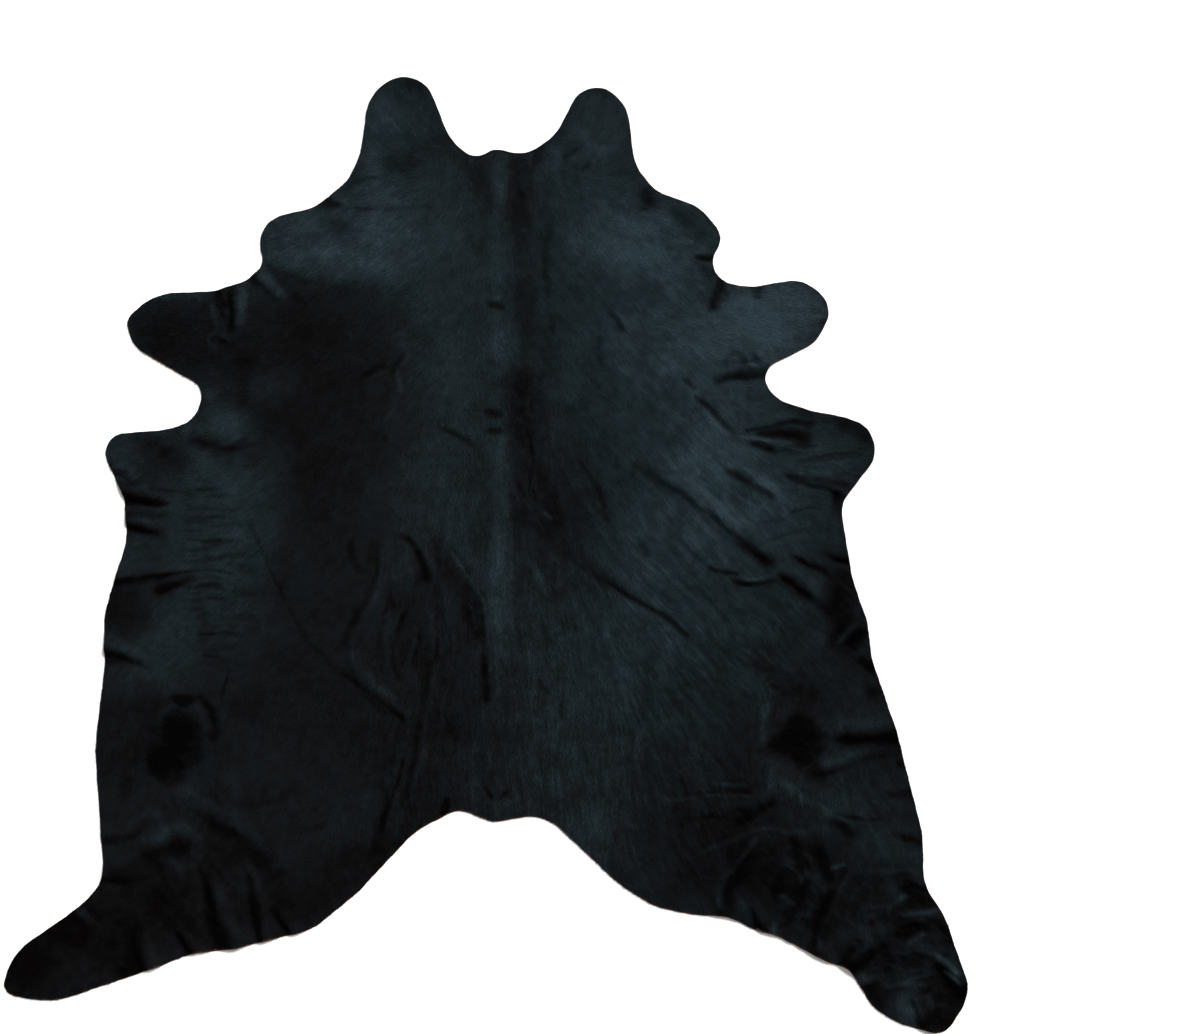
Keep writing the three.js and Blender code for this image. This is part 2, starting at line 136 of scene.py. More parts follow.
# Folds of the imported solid, row for row: a soft ridge along a bowed line that starts where it dies out. The
# bow is how far its middle lies to the left of the straight line. The lip is the height that is left at the
# far end, where most folds run out over the cut edge.
foldRow = namedtuple("foldRow", "at start end bow width height lip")
foldSizes = [
    # forequarters
    ("right armpit", (505, 394), (640, 409), 4, 44, 9, 8),
    ("right foreleg", (548, 432), (632, 452), -3, 34, 6, 4),
    ("right shoulder", (457, 371), (565, 274), 6, 42, 6, 0),
    ("upper fan", (566, 272), (735, 304), 4, 34, 6, 0),
    ("lower fan", (572, 252), (705, 229), -3, 34, 6, 0),
    ("right elbow", (655, 180), (815, 128), 5, 44, 8, 8),
    ("behind the elbow", (548, 186), (664, 115), 4, 36, 5, 0),
    ("right cheek", (468, 664), (522, 668), 0, 36, 8, 8),
    ("under the cheek", (514, 552), (536, 622), 0, 36, 7, 7),
    ("right ear", (174, 882), (215, 928), 3, 36, 6, 6),
    ("throat", (-105, 781), (-360, 776), -3, 30, 4, 4),
    ("left shoulder", (-454, 572), (-514, 648), 2, 40, 7, 7),
    ("left foreleg", (-552, 490), (-560, 618), -4, 46, 9, 9),
    ("foreleg pleat", (-580, 522), (-602, 610), 3, 36, 8, 8),
    ("left elbow", (-483, 272), (-655, 262), 24, 40, 6, 4),
    ("upper brisket", (-267, 389), (-168, 468), 4, 36, 4, 0),
    ("lower brisket", (-231, 281), (-191, 405), 8, 36, 4, 0),
    ("withers", (-92, 281), (-35, 248), 3, 36, 5, 0),
    # right flank
    ("long fold", (338, 200), (626, -12), 12, 48, 9, 5),
    ("its far end", (648, -36), (752, -112), 4, 46, 10, 4),
    ("first ripple", (496, -28), (572, -42), -3, 32, 5, 0),
    ("second ripple", (552, -58), (660, -54), -9, 34, 6, 0),
    ("belly line", (150, 14), (458, -180), 4, 30, 5, 0),
    ("first pleat", (690, -4), (758, -36), 3, 34, 6, 2),
    ("second pleat", (766, -2), (828, -12), 0, 38, 8, 8),
    ("third pleat", (792, -206), (860, -138), -4, 44, 10, 10),
    ("thigh pleat", (765, -416), (945, -408), 3, 58, 12, 12),
    ("front of the whorl", (662, -297), (622, -440), -14, 40, 5, 0),
    ("under the whorl", (624, -446), (880, -610), -18, 44, 6, 0),
    ("behind the whorl", (723, -493), (940, -430), -5, 40, 7, 6),
    # left flank
    ("elbow pleat", (-788, 158), (-838, 190), 0, 36, 7, 7),
    ("first pleat", (-704, 114), (-824, 138), 3, 46, 12, 11),
    ("second pleat", (-740, 55), (-818, 68), 2, 40, 9, 9),
    ("third pleat", (-652, -34), (-840, -60), 4, 46, 10, 9),
    ("beside it", (-664, -58), (-745, -84), -3, 34, 6, 0),
    ("fourth pleat", (-760, -245), (-866, -218), -3, 46, 10, 10),
    ("over the whorl", (-722, -308), (-609, -416), 18, 38, 5, 0),
    ("behind the whorl", (-755, -405), (-705, -518), -14, 36, 5, 0),
    ("thigh ridge", (-690, -536), (-483, -644), 8, 48, 9, 0),
    ("stifle pleat", (-766, -632), (-874, -640), 2, 46, 9, 9),
    ("thigh pleat", (-792, -735), (-872, -728), 0, 42, 8, 8),
    # back
    ("loin", (-98, 56), (14, -318), 36, 44, 8, 0),
    ("left ridge", (-231, 45), (-301, -190), 16, 48, 8, 3),
    ("its lower end", (-301, -200), (-166, -353), -26, 46, 8, 0),
    ("beside the loin", (-202, 54), (-137, -43), 20, 36, 5, 0),
    ("short tuck", (-175, -121), (-211, -193), 4, 32, 4, 0),
    ("long rump fold", (-107, -162), (-194, -640), 5, 42, 8, 6),
    ("rump pleat", (-186, -461), (-240, -650), -3, 42, 9, 5),
    ("rib line", (-530, 74), (-179, -376), -60, 30, 4, 0),
    # hind legs
    ("left thigh", (-647, -704), (-582, -896), 4, 56, 12, 12),
    ("left ham", (-533, -736), (-502, -884), 4, 46, 9, 9),
    ("left buttock", (-481, -790), (-434, -866), 2, 40, 7, 7),
    ("left calf", (-697, -840), (-655, -904), 2, 40, 9, 9),
    ("left hock", (-790, -834), (-758, -944), -4, 46, 11, 11),
    ("left shin", (-925, -870), (-964, -812), 3, 46, 8, 8),
    ("right ham", (563, -599), (678, -547), 5, 42, 7, 0),
    ("right buttock", (626, -617), (525, -820), -20, 52, 10, 9),
    ("beside it", (598, -785), (624, -858), 2, 40, 8, 8),
    ("right calf", (835, -686), (738, -912), -26, 56, 10, 8),
    ("right stifle", (779, -578), (860, -600), 4, 38, 6, 0),
    ("stifle pleat", (925, -625), (994, -650), 0, 38, 8, 8),
    ("shin pleat", (938, -728), (1016, -772), 4, 48, 11, 11),
    ("second shin pleat", (978, -815), (1054, -852), 0, 42, 8, 8),
    ("right hock", (890, -880), (815, -936), -3, 46, 12, 12),
    ("right toe", (1002, -896), (1084, -962), 4, 50, 10, 9),
    ("right heel", (958, -965), (986, -1076), -4, 46, 10, 10),
]
mainFolds = [foldRow(at, *map(inMetres, sizes)) for at, *sizes in foldSizes]

# Marks along lines of a few points: how much darker or lighter the hair is painted there, as painted shade
# along creases and painted highlights along ridges, the width at the start and at the end, then the line. A
# dark mark is a soft trough and a light one a low ridge.
markRow = namedtuple("markRow", "tone startWidth endWidth line")
markLines = [
    # ears and neck
    (-7, 8, 5, (-295, 779), (-254, 776), (-187, 781), (-113, 783)),
    (-20, 11, 10, (-286, 778), (-261, 777)),
    (-45, 12, 28, (-331, 785), (-368, 796)),
    (-22, 14, 6, (-315, 826), (-275, 846), (-236, 851)),
    (-15, 32, 30, (-342, 741), (-322, 739)),
    (-12, 26, 26, (-132, 770), (-130, 686)),
    (16, 40, 34, (-252, 905), (-245, 865)),
    (-8, 40, 40, (-170, 895), (-240, 866)),
    (-12, 30, 24, (-166, 1060), (-140, 1044)),
    (-13, 8, 7, (173, 887), (212, 918)),
    (6, 12, 10, (182, 878), (216, 907)),
    (-12, 10, 8, (216, 866), (234, 878)),
    (-30, 24, 26, (364, 812), (368, 794)),
    (-30, 10, 9, (342, 779), (373, 779)),
    (-5, 12, 14, (248, 740), (299, 718), (356, 709), (412, 722)),
    (-16, 20, 30, (421, 774), (446, 749), (477, 722)),
    (-32, 8, 14, (477, 668), (511, 668)),
    (-20, 16, 20, (486, 640), (506, 632)),
    # spine and withers
    (-14, 50, 30, (-26, 870), (6, 800)),
    (16, 42, 18, (29, 911), (34, 833), (36, 776)),
    (-18, 24, 10, (118, 912), (112, 885), (98, 855)),
    (14, 32, 24, (152, 918), (158, 880)),
    (6, 30, 30, (55, 590), (55, 500)),
    (8, 40, 50, (38, 761), (36, 664), (27, 574)),
    (10, 55, 45, (20, 540), (28, 430)),
    (15, 26, 48, (38, 293), (37, 100), (30, -140)),
    (-22, 54, 40, (70, 911), (74, 799), (81, 731)),
    (-8, 44, 40, (83, 725), (88, 600), (88, 480)),
    (-13, 12, 13, (149, 747), (133, 680), (137, 619), (142, 574)),
    (-36, 14, 14, (12, 563), (36, 557)),
    (-12, 6, 6, (40, 562), (83, 581)),
    (10, 10, 6, (9, 571), (43, 587)),
    (-16, 16, 14, (14, 432), (34, 420)),
    (-42, 18, 18, (4, 320), (28, 317)),
    (-32, 14, 14, (12, 279), (30, 280)),
    (-26, 75, 70, (78, 385), (83, 295)),
    (-14, 65, 70, (83, 285), (88, 100)),
    (-38, 8, 12, (101, 371), (104, 322)),
    (-30, 6, 7, (94, 274), (103, 229), (101, 169), (94, 137)),
    (-26, 7, 6, (106, 153), (115, 112)),
    (-20, 10, 14, (-108, 288), (-65, 270), (-29, 245)),
    (-22, 8, 12, (205, 216), (230, 182), (254, 144), (272, 81)),
    (-16, 12, 10, (340, 207), (331, 178)),
    (-18, 40, 50, (100, 205), (140, 150), (160, 80)),
    (-10, 45, 50, (90, 85), (150, 45), (180, 10)),
    (30, 10, 10, (131, 94), (146, 82)),
    (14, 12, 18, (104, -16), (120, -48), (133, -79)),
    (-12, 11, 12, (153, -13), (153, -117)),
    (-18, 22, 20, (178, -146), (198, -164)),
    (-16, 18, 18, (352, 18), (360, 5)),
    # right shoulder
    (-24, 12, 14, (276, 551), (297, 526), (312, 495)),
    (-18, 12, 12, (259, 500), (256, 450), (262, 421)),
    (-16, 12, 10, (146, 537), (151, 506)),
    (8, 12, 12, (290, 551), (312, 524), (326, 495)),
    # right foreleg and elbow
    (-34, 18, 20, (511, 556), (529, 612)),
    (-34, 16, 24, (608, 582), (608, 604)),
    (-26, 10, 10, (749, 508), (767, 534)),
    (-34, 10, 24, (506, 392), (549, 402), (623, 413)),
    (-17, 10, 11, (545, 416), (540, 434), (551, 448), (576, 452)),
    (-16, 10, 9, (567, 457), (583, 434), (572, 416)),
    (13, 8, 9, (586, 450), (592, 432), (620, 420)),
    (-15, 10, 11, (599, 461), (605, 443), (621, 430)),
    (-25, 11, 10, (452, 392), (466, 378)),
    (-20, 10, 12, (466, 358), (511, 324), (545, 284), (569, 270)),
    (12, 12, 14, (484, 330), (522, 290), (556, 262)),
    (-34, 6, 14, (578, 279), (632, 288), (693, 299), (731, 295)),
    (-48, 12, 34, (614, 273), (682, 272), (713, 264)),
    (-42, 14, 12, (585, 254), (623, 245), (653, 236)),
    (-15, 8, 8, (673, 230), (711, 230)),
    (10, 8, 8, (567, 266), (640, 258), (700, 250)),
    (-28, 30, 36, (806, 292), (850, 268)),
    (-20, 18, 24, (683, 333), (722, 320)),
    (-28, 8, 18, (664, 180), (731, 171), (792, 162), (821, 151)),
    (-40, 18, 22, (791, 136), (789, 98)),
    (-36, 14, 18, (549, 187), (590, 166)),
    (-20, 16, 12, (592, 164), (653, 126)),
    (-12, 6, 6, (628, 29), (722, 61)),
    (-12, 6, 6, (608, 72), (680, 81)),
    (-12, 6, 6, (680, 97), (747, 108)),
    (16, 20, 16, (614, 176), (664, 136)),
    # right flank
    (-16, 28, 26, (345, 200), (407, 153), (468, 113), (520, 70), (572, 29)),
    (-42, 26, 28, (569, 34), (600, 8), (630, -13)),
    (10, 30, 36, (440, 165), (500, 122), (560, 78), (604, 46)),
    (-42, 20, 26, (650, -41), (695, -68), (738, -100)),
    (-10, 7, 8, (432, 41), (459, 9), (495, -23)),
    (-28, 8, 9, (495, -23), (526, -36), (572, -43)),
    (-32, 11, 7, (551, -58), (583, -65), (614, -63), (655, -56)),
    (14, 8, 6, (578, -55), (608, -53), (640, -47)),
    (-28, 10, 14, (680, -2), (722, -16), (763, -38)),
    (-28, 14, 18, (763, 5), (812, -12)),
    (26, 10, 10, (788, -203), (819, -167), (841, -146)),
    (-38, 24, 30, (826, -205), (846, -172)),
    (-20, 18, 16, (774, -203), (799, -162)),
    (-40, 22, 30, (850, -238), (866, -250)),
    (-22, 30, 36, (612, -246), (641, -268)),
    (-28, 14, 14, (644, -293), (653, -299)),
    (-20, 10, 10, (706, -268), (713, -272)),
    (-18, 34, 18, (150, 40), (200, 0), (263, -50), (326, -97)),
    (-27, 10, 12, (268, -54), (326, -97), (392, -133), (459, -187)),
    (-12, 16, 14, (520, -214), (572, -238)),
    # right whorl and thigh
    (18, 16, 18, (640, -318), (626, -366), (622, -440)),
    (-38, 26, 34, (775, -418), (842, -415), (935, -410)),
    (7, 24, 26, (765, -376), (830, -380), (905, -384)),
    (-26, 14, 20, (730, -498), (782, -484), (826, -466)),
    (-18, 14, 16, (836, -463), (867, -454), (908, -442)),
    (20, 20, 40, (632, -452), (668, -506), (720, -540), (795, -583)),
    (12, 30, 30, (650, -500), (628, -545)),
    (-17, 22, 18, (540, -615), (601, -580), (665, -545)),
    (14, 10, 9, (484, -668), (560, -640), (617, -617), (680, -622), (730, -624)),
    (-20, 8, 6, (774, -580), (821, -590), (857, -596), (896, -594)),
    (-32, 18, 22, (763, -614), (788, -602), (817, -626), (836, -644)),
    (-26, 10, 22, (905, -622), (947, -639), (985, -651)),
    (-26, 20, 30, (865, -310), (887, -312)),
    (-26, 16, 24, (930, -470), (950, -473)),
    (-20, 16, 22, (905, -540), (965, -538)),
    (-30, 30, 20, (744, -648), (760, -690), (772, -728)),
    (-22, 20, 20, (690, -640), (705, -665)),
    # right ham
    (15, 7, 8, (395, -548), (435, -550), (478, -548)),
    (14, 6, 7, (485, -542), (540, -540), (602, -543)),
    (-15, 9, 10, (490, -533), (545, -530), (604, -533)),
    (-12, 18, 16, (410, -567), (480, -565)),
    (12, 7, 8, (505, -517), (550, -515), (592, -518)),
    (-10, 9, 9, (500, -507), (590, -506)),
    (-10, 10, 10, (480, -590), (545, -584), (600, -566)),
    # right hind leg
    (22, 10, 12, (611, -630), (583, -669), (555, -703), (532, -737), (520, -800)),
    (-22, 20, 30, (608, -660), (574, -708), (549, -752), (541, -812)),
    (-34, 24, 40, (931, -735), (975, -760), (1005, -785)),
    (38, 11, 13, (918, -783), (940, -766)),
    (34, 11, 14, (938, -806), (985, -806), (1024, -794)),
    (20, 7, 7, (918, -805), (958, -810)),
    (-16, 30, 40, (895, -830), (960, -835), (1040, -840)),
    (40, 12, 14, (954, -868), (981, -853)),
    (-20, 36, 44, (1020, -815), (1046, -870)),
    (26, 8, 8, (945, -875), (1008, -877)),
    (38, 13, 11, (990, -890), (1030, -909)),
    (42, 13, 13, (1022, -908), (1050, -930), (1070, -950)),
    (44, 10, 11, (1024, -930), (1048, -950), (1070, -968)),
    (-20, 6, 6, (1020, -920), (1050, -942)),
    (-30, 26, 30, (1048, -975), (1080, -985)),
    (-36, 18, 30, (893, -882), (860, -897), (822, -925)),
    (-26, 14, 18, (821, -888), (796, -915)),
    (24, 9, 9, (862, -874), (842, -892), (816, -914)),
    (36, 18, 24, (860, -957), (842, -950)),
    (-24, 35, 40, (868, -970), (885, -1000)),
    (-32, 30, 50, (981, -990), (1000, -1050)),
    (44, 14, 16, (994, -996), (1004, -1014)),
    (18, 6, 6, (998, -1016), (1040, -1013)),
    (27, 10, 8, (780, -706), (806, -697)),
    (44, 11, 12, (666, -768), (688, -783)),
    (-16, 26, 30, (655, -748), (700, -762)),
    (22, 10, 10, (702, -812), (729, -808)),
    (-13, 12, 20, (817, -693), (772, -779), (745, -830), (740, -884)),
    (16, 8, 12, (828, -690), (785, -775), (754, -840), (748, -884)),
    # lower edge of the right hind leg
    (20, 20, 24, (578, -784), (600, -816)),
    (-24, 16, 26, (592, -800), (616, -842)),
    (30, 10, 12, (650, -826), (646, -850)),
    (26, 12, 12, (790, -912), (775, -926)),
    (16, 20, 22, (700, -838), (724, -850)),
    (18, 8, 8, (660, -690), (700, -715), (715, -745)),
    (18, 8, 8, (700, -660), (740, -690)),
    # loin
    (-14, 16, 14, (-293, 50), (-304, 9), (-288, -29), (-261, -47)),
    (-18, 34, 36, (-256, 50), (-252, 2), (-252, -50), (-266, -90)),
    (-14, 30, 24, (-272, -95), (-290, -140), (-306, -180), (-310, -220)),
    (14, 12, 14, (-236, 22), (-237, -29), (-245, -90), (-277, -146)),
    (14, 14, 16, (-277, -146), (-299, -185), (-301, -236), (-275, -277)),
    (16, 16, 22, (-290, -255), (-240, -300), (-182, -346), (-164, -342)),
    (-17, 10, 12, (-328, -263), (-256, -313), (-191, -364), (-185, -383)),
    (-13, 6, 6, (-535, 74), (-511, 29), (-479, -43), (-450, -108)),
    (-7, 10, 12, (-450, -108), (-410, -175), (-360, -235), (-328, -263)),
    (-30, 10, 22, (-198, 50), (-169, 29), (-148, 2), (-133, -50)),
    (14, 12, 14, (-169, 40), (-142, 14), (-128, -11), (-106, -47)),
    (-15, 14, 16, (-112, 46), (-86, -5), (-60, -55), (-17, -140), (-5, -219), (1, -322)),
    (-26, 30, 36, (-115, 50), (-95, -20), (-53, -86), (-26, -154), (-13, -220)),
    (-28, 10, 18, (-8, -200), (-2, -270), (1, -322)),
    (16, 8, 10, (-81, 9), (-14, -90), (2, -153), (9, -297)),
    (-14, 8, 10, (-117, -153), (-110, -202), (-126, -270), (-137, -317)),
    (-16, 10, 12, (-173, -115), (-198, -158), (-221, -194)),
    (-14, 8, 10, (-214, -70), (-209, -122)),
    (-12, 10, 10, (-207, -56), (-226, -131), (-244, -207)),
    (-12, 10, 10, (-160, -94), (-196, -160), (-207, -243), (-178, -299)),
    (-10, 10, 10, (-142, -169), (-160, -243), (-142, -299)),
    (9, 10, 10, (-183, -112), (-214, -187), (-225, -263)),
    (9, 10, 10, (-150, -185), (-176, -250), (-160, -300)),
    # rump
    (-10, 20, 20, (-117, -235), (-134, -295), (-147, -350)),
    (12, 8, 10, (-117, -262), (-134, -372), (-142, -433), (-158, -500), (-172, -560)),
    (-9, 18, 22, (-148, -345), (-157, -433), (-169, -500), (-184, -565)),
    (-26, 6, 13, (-185, -455), (-200, -522), (-223, -574), (-234, -614)),
    (10, 10, 16, (-183, -560), (-205, -630)),
    (-45, 12, 14, (-87, -553), (-92, -583)),
    (-18, 10, 6, (170, -328), (172, -380)),
    (-12, 14, 12, (118, -285), (148, -325)),
    (-14, 20, 20, (-72, -369), (-70, -414)),
    (-14, 10, 10, (-47, -477), (-45, -513)),
    (-16, 14, 16, (11, -477), (11, -527)),
    (8, 34, 34, (-40, -419), (-36, -549)),
    (-38, 10, 9, (27, -554), (59, -524)),
    (-32, 12, 10, (2, -525), (14, -547)),
    (-8, 14, 14, (-567, -565), (-508, -560), (-448, -551)),
    (-8, 12, 14, (-452, -590), (-374, -567)),
    (-9, 14, 16, (-464, -619), (-403, -619), (-335, -595)),
    # left whorl and hind leg
    (17, 13, 12, (-740, -392), (-722, -352), (-693, -335), (-664, -335)),
    (10, 12, 13, (-672, -334), (-641, -352), (-631, -388), (-636, -412)),
    (-24, 18, 18, (-670, -306), (-640, -322), (-617, -354), (-607, -392), (-615, -430)),
    (-20, 9, 7, (-572, -254), (-587, -297), (-596, -328)),
    (10, 18, 22, (-693, -529), (-644, -547), (-587, -585), (-475, -671)),
    (-14, 24, 34, (-659, -558), (-599, -619), (-554, -637), (-475, -720)),
    (14, 14, 18, (-812, -614), (-767, -585), (-720, -580)),
    (22, 36, 34, (-744, -637), (-715, -624), (-680, -616)),
    (-26, 34, 28, (-760, -670), (-712, -664), (-670, -648)),
    (-22, 30, 36, (-765, -668), (-715, -722), (-668, -775)),
    (-12, 12, 22, (-767, -619), (-812, -634), (-862, -646)),
    (-22, 20, 24, (-787, -747), (-812, -731), (-858, -700)),
    (-30, 14, 28, (-628, -709), (-621, -788), (-605, -844), (-592, -885)),
    (12, 20, 26, (-596, -760), (-575, -815)),
    (-24, 12, 20, (-538, -713), (-520, -776), (-507, -870)),
    (-20, 10, 14, (-482, -792), (-450, -850)),
    (-28, 10, 18, (-695, -855), (-664, -892)),
    (-50, 18, 54, (-785, -848), (-790, -890), (-796, -936)),
    (-60, 40, 46, (-962, -832), (-918, -844)),
    (20, 22, 26, (-912, -800), (-894, -824)),
    (-20, 10, 12, (-891, -801), (-868, -817)),
    # left foreleg and flank
    (26, 20, 20, (-512, 636), (-472, 596), (-448, 576)),
    (-14, 30, 30, (-460, 620), (-412, 567)),
    (-20, 14, 14, (-530, 636), (-515, 608)),
    (-14, 14, 22, (-502, 655), (-466, 637), (-408, 613)),
    (34, 20, 18, (-547, 612), (-549, 551), (-560, 488)),
    (-26, 9, 10, (-580, 596), (-572, 545), (-576, 493)),
    (-24, 12, 9, (-600, 590), (-585, 560)),
    (16, 8, 8, (-620, 566), (-604, 512), (-624, 486), (-603, 458)),
    (-20, 14, 14, (-592, 480), (-576, 470)),
    (16, 8, 8, (-596, 500), (-580, 480), (-572, 458)),
    (-14, 36, 30, (-540, 436), (-545, 335)),
    (20, 22, 20, (-760, 586), (-610, 582)),
    (14, 12, 12, (-168, 457), (-198, 413), (-193, 385), (-195, 357)),
    (12, 12, 10, (-195, 357), (-212, 322), (-231, 290)),
    (14, 12, 10, (-217, 418), (-264, 391)),
    (-16, 16, 14, (-180, 457), (-206, 418), (-214, 392)),
    (-14, 14, 12, (-234, 426), (-270, 405)),
    (-10, 24, 22, (-213, 378), (-226, 344)),
    (10, 10, 8, (-319, 509), (-291, 484)),
    (-24, 40, 44, (-812, 259), (-734, 232), (-655, 191)),
    (-25, 20, 18, (-657, 272), (-628, 243), (-592, 232), (-531, 268)),
    (-16, 36, 36, (-625, 256), (-596, 254)),
    (-10, 46, 42, (-785, 247), (-720, 215), (-655, 185)),
    (-16, 9, 10, (-797, 182), (-834, 187)),
    (-20, 12, 16, (-765, 163), (-828, 156)),
    (-42, 12, 42, (-698, 115), (-760, 122), (-828, 133)),
    (10, 7, 8, (-711, 102), (-815, 108)),
    (-18, 10, 14, (-716, 88), (-818, 92)),
    (10, 7, 8, (-727, 74), (-812, 79)),
    (-38, 12, 30, (-720, 45), (-770, 56), (-816, 65)),
    (-34, 6, 14, (-655, -36), (-735, -46), (-838, -60)),
    (-14, 5, 5, (-562, -41), (-619, -34), (-680, -38)),
    (-54, 12, 24, (-652, -47), (-731, -79)),
    (-36, 12, 44, (-800, -242), (-868, -221)),
    (-12, 8, 8, (-750, -254), (-822, -240)),
    (8, 14, 16, (-795, -213), (-852, -203)),
    (-18, 7, 7, (-657, 146), (-600, 148)),
    (-16, 7, 7, (-648, 31), (-592, 34)),
    (-20, 7, 7, (-648, -68), (-592, -66)),
    (-18, 7, 7, (-632, -97), (-587, -99)),
    (-18, 8, 5, (-644, -134), (-612, -132)),
    (-20, 8, 5, (-650, -178), (-556, -176)),
    (-18, 9, 5, (-644, -224), (-600, -228)),
    (-14, 7, 6, (-762, 150), (-660, 140)),
    (-10, 18, 20, (-641, -90), (-636, -160), (-641, -238)),
]
mainMarks = [
    markRow(tone / 100, inMetres(startWidth), inMetres(endWidth), inMetres(tuple(line)))
    for tone, startWidth, endWidth, *line in markLines
]

# Fields of small wrinkles: reach along and across them, the way they run in degrees, their pitch, how many
# times longer than that they are, their shape and height
wrinkleRow = namedtuple("wrinkleRow", "at middle reach way pitch stretch shape rise")
wrinkleFields = [
    ("loin", (-150, -140), (190, 85), 95, 22, 4, "wave", 3.4),
    ("rump strands", (-180, -460), (190, 55), 76, 18, 6, "wave", 2.6),
    ("tail root", (-30, -460), (130, 50), 88, 16, 5, "wave", 1.6),
    ("left flank", (-600, -40), (85, 190), 2, 9, 7, "tick", 0.7),
    ("left thigh", (-640, -710), (200, 190), -62, 30, 2.6, "wave", 3.6),
    ("left shin", (-900, -860), (130, 90), -50, 26, 2.4, "wave", 1.4),
    ("right thigh", (740, -770), (150, 130), 66, 30, 2.2, "crest", 4.6),
    ("right shin", (955, -850), (140, 160), 8, 32, 2, "crest", 5.8),
    ("right rump", (497, -546), (140, 60), 0, 18, 5, "wave", 1.6),
    ("right elbow", (740, 215), (120, 50), 8, 15, 4.5, "tick", 0.9),
    ("right flank", (480, 60), (240, 170), -36, 26, 3.4, "wave", 1.1),
    ("right of the poll", (78, 850), (80, 40), 90, 20, 4, "wave", 0.9),
    ("right of the withers", (160, 130), (150, 110), -56, 24, 2.8, "wave", 1.6),
    ("left foreleg", (-590, 530), (80, 50), 78, 24, 2.6, "wave", 1.6),
]
wrinkles = [
    wrinkleRow(at, inMetres(middle), inMetres(reach), way, inMetres(pitch), stretch, shape, inMetres(rise))
    for at, middle, reach, way, pitch, stretch, shape, rise in wrinkleFields
]

# How the sheet is raised from these rows, in metres
relief = dict(
    cell=0.002,  # spacing of the heights that skin and hair share
    margin=0.04,
    skin=0.0022,  # tanned leather without its hair
    deepest=0.6,  # share of the leather's thickness that a trough may take
    trunk=(0.45, 0.60),  # half width and half length of the part whose lowest place rests on the floor
    foldSteps=24,  # straight stretches of a fold's line
    foldReach=1.3,  # how far a fold can reach from its line, in its widths
    crestShift=0.27,  # crest towards the light, in fold widths
    litShift=-0.30,  # the same for folds whose lit side lies on their line
    litFolds=(
        "left shoulder", "left foreleg", "thigh ridge", "its lower end", "over the whorl", "right toe",
    ),
    steepHalf=0.55,  # crest to foot on the side away from the light, in fold widths
    gentleHalf=0.95,
    endHalf=0.5,  # how far a fold runs on past its ends, in fold widths
    wedge=(0.45, 0.55),  # width where a fold starts that opens at the cut edge, and what its far end adds
    slim=(0.55, 0.45),  # width at the ends of a fold inside the hide, and what its middle adds
    innerFolds=0.60,  # height of a fold inside the hide, to that of its solid
    pressedFolds={  # share of the height that is left of folds lying flatter
        "throat": 0.3, "long rump fold": 0.35, "behind the whorl": 0.4, "rib line": 0.12, "long fold": 0.7,
        "left shoulder": 0.6, "thigh ridge": 0.5, "stifle pleat": 0.35, "left shin": 0.3,
    },
    unevenCrest=0.30,  # share of a crest's height that comes and goes along it
    crestPitch=0.03,
    darkCrest=0.006,  # height from which the painted shade on a fold's far side is at its full strength
    stray=((0.042, 0.0045), (0.015, 0.0016)),  # pitch and reach of a line's wandering
    lineSteps=8,  # straight stretches between two points of a mark
    markReach=1.1,  # how far a mark can reach from its line, in its widths
    markStray=0.4,  # share of the wandering that marks take
    markRise=0.0034,  # height of a mark's ridge or trough for its whole tone
    markWidth=0.016,  # wider marks are as much shallower
    narrowMark=0.0016,  # narrower marks are stronger, as the hair closes over them
    markEdge=2.4,  # how sharply a mark ends at its sides
    markTaper=1.5,  # length over which a mark fades out at its ends, in its widths
    openMark=1.3,  # a mark that widens this many times stays strong at its end
    unevenMark=0.42,
    markPitch=0.018,
    fineWrinkles=(2.1, 0.4),  # times closer that a second set of wrinkles lies, and its share
    sharpCrest=(2.4, 0.012),  # fall from a crest's top, and its roundness
    thinTick=(0.22, 0.28),  # height of the noise where a tick begins, and the rise to its whole depth
    swell=0.0016,
    swellPitch=0.19,
    faint=0.0007,  # low waves all over
    faintPitch=0.034,
    grain=0.00016,
    grainPitch=0.012,
    seeds=dict(
        swell=7, grain=8, fineGrain=9, crest=10, faint=11, mark=12, strayX=47, strayY=57,
        wrinkle=67, fineWrinkle=87,  # the first of one for each field
    ),
)
cell = relief["cell"]
low = np.array(cadBox[0][:2]) - relief["margin"]
high = np.array(cadBox[1][:2]) + relief["margin"]
gridX = np.arange(low[0], high[0], cell)
gridY = np.arange(low[1], high[1], cell)
gridShape = (len(gridY), len(gridX))
flatX, flatY = np.meshgrid(gridX, gridY)
keyAround = math.radians(studio["keyFrom"][0])
lightWay = np.array((math.cos(keyAround), math.sin(keyAround)))
noiseRepeat = (67, 61)  # squares across and up after which the noise comes again


def noiseAt(u, v, seed):
    # random heights from -1 to 1, one to a unit square, eased in between
    across, up = noiseRepeat
    heights = np.random.default_rng(seed).uniform(-1, 1, (up, across))
    column, row = np.floor(u).astype(int), np.floor(v).astype(int)
    easeU, easeV = (part * part * (3 - 2 * part) for part in (u - column, v - row))
    left, right = column % across, (column + 1) % across
    lower, upper = row % up, (row + 1) % up
    near = heights[lower, left] * (1 - easeU) + heights[lower, right] * easeU
    far = heights[upper, left] * (1 - easeU) + heights[upper, right] * easeU
    return near * (1 - easeV) + far * easeV


def softNoise(pitch, seed):
    return noiseAt((flatX - low[0]) / pitch, (flatY - low[1]) / pitch, seed)


def wandering(layers, firstSeed):
    return sum(reach * softNoise(pitch, seed) for seed, (pitch, reach) in enumerate(layers, firstSeed))


strayX = wandering(relief["stray"], relief["seeds"]["strayX"])
strayY = wandering(relief["stray"], relief["seeds"]["strayY"])
strayedX, strayedY = flatX + strayX, flatY + strayY
markX, markY = flatX + relief["markStray"] * strayX, flatY + relief["markStray"] * strayY


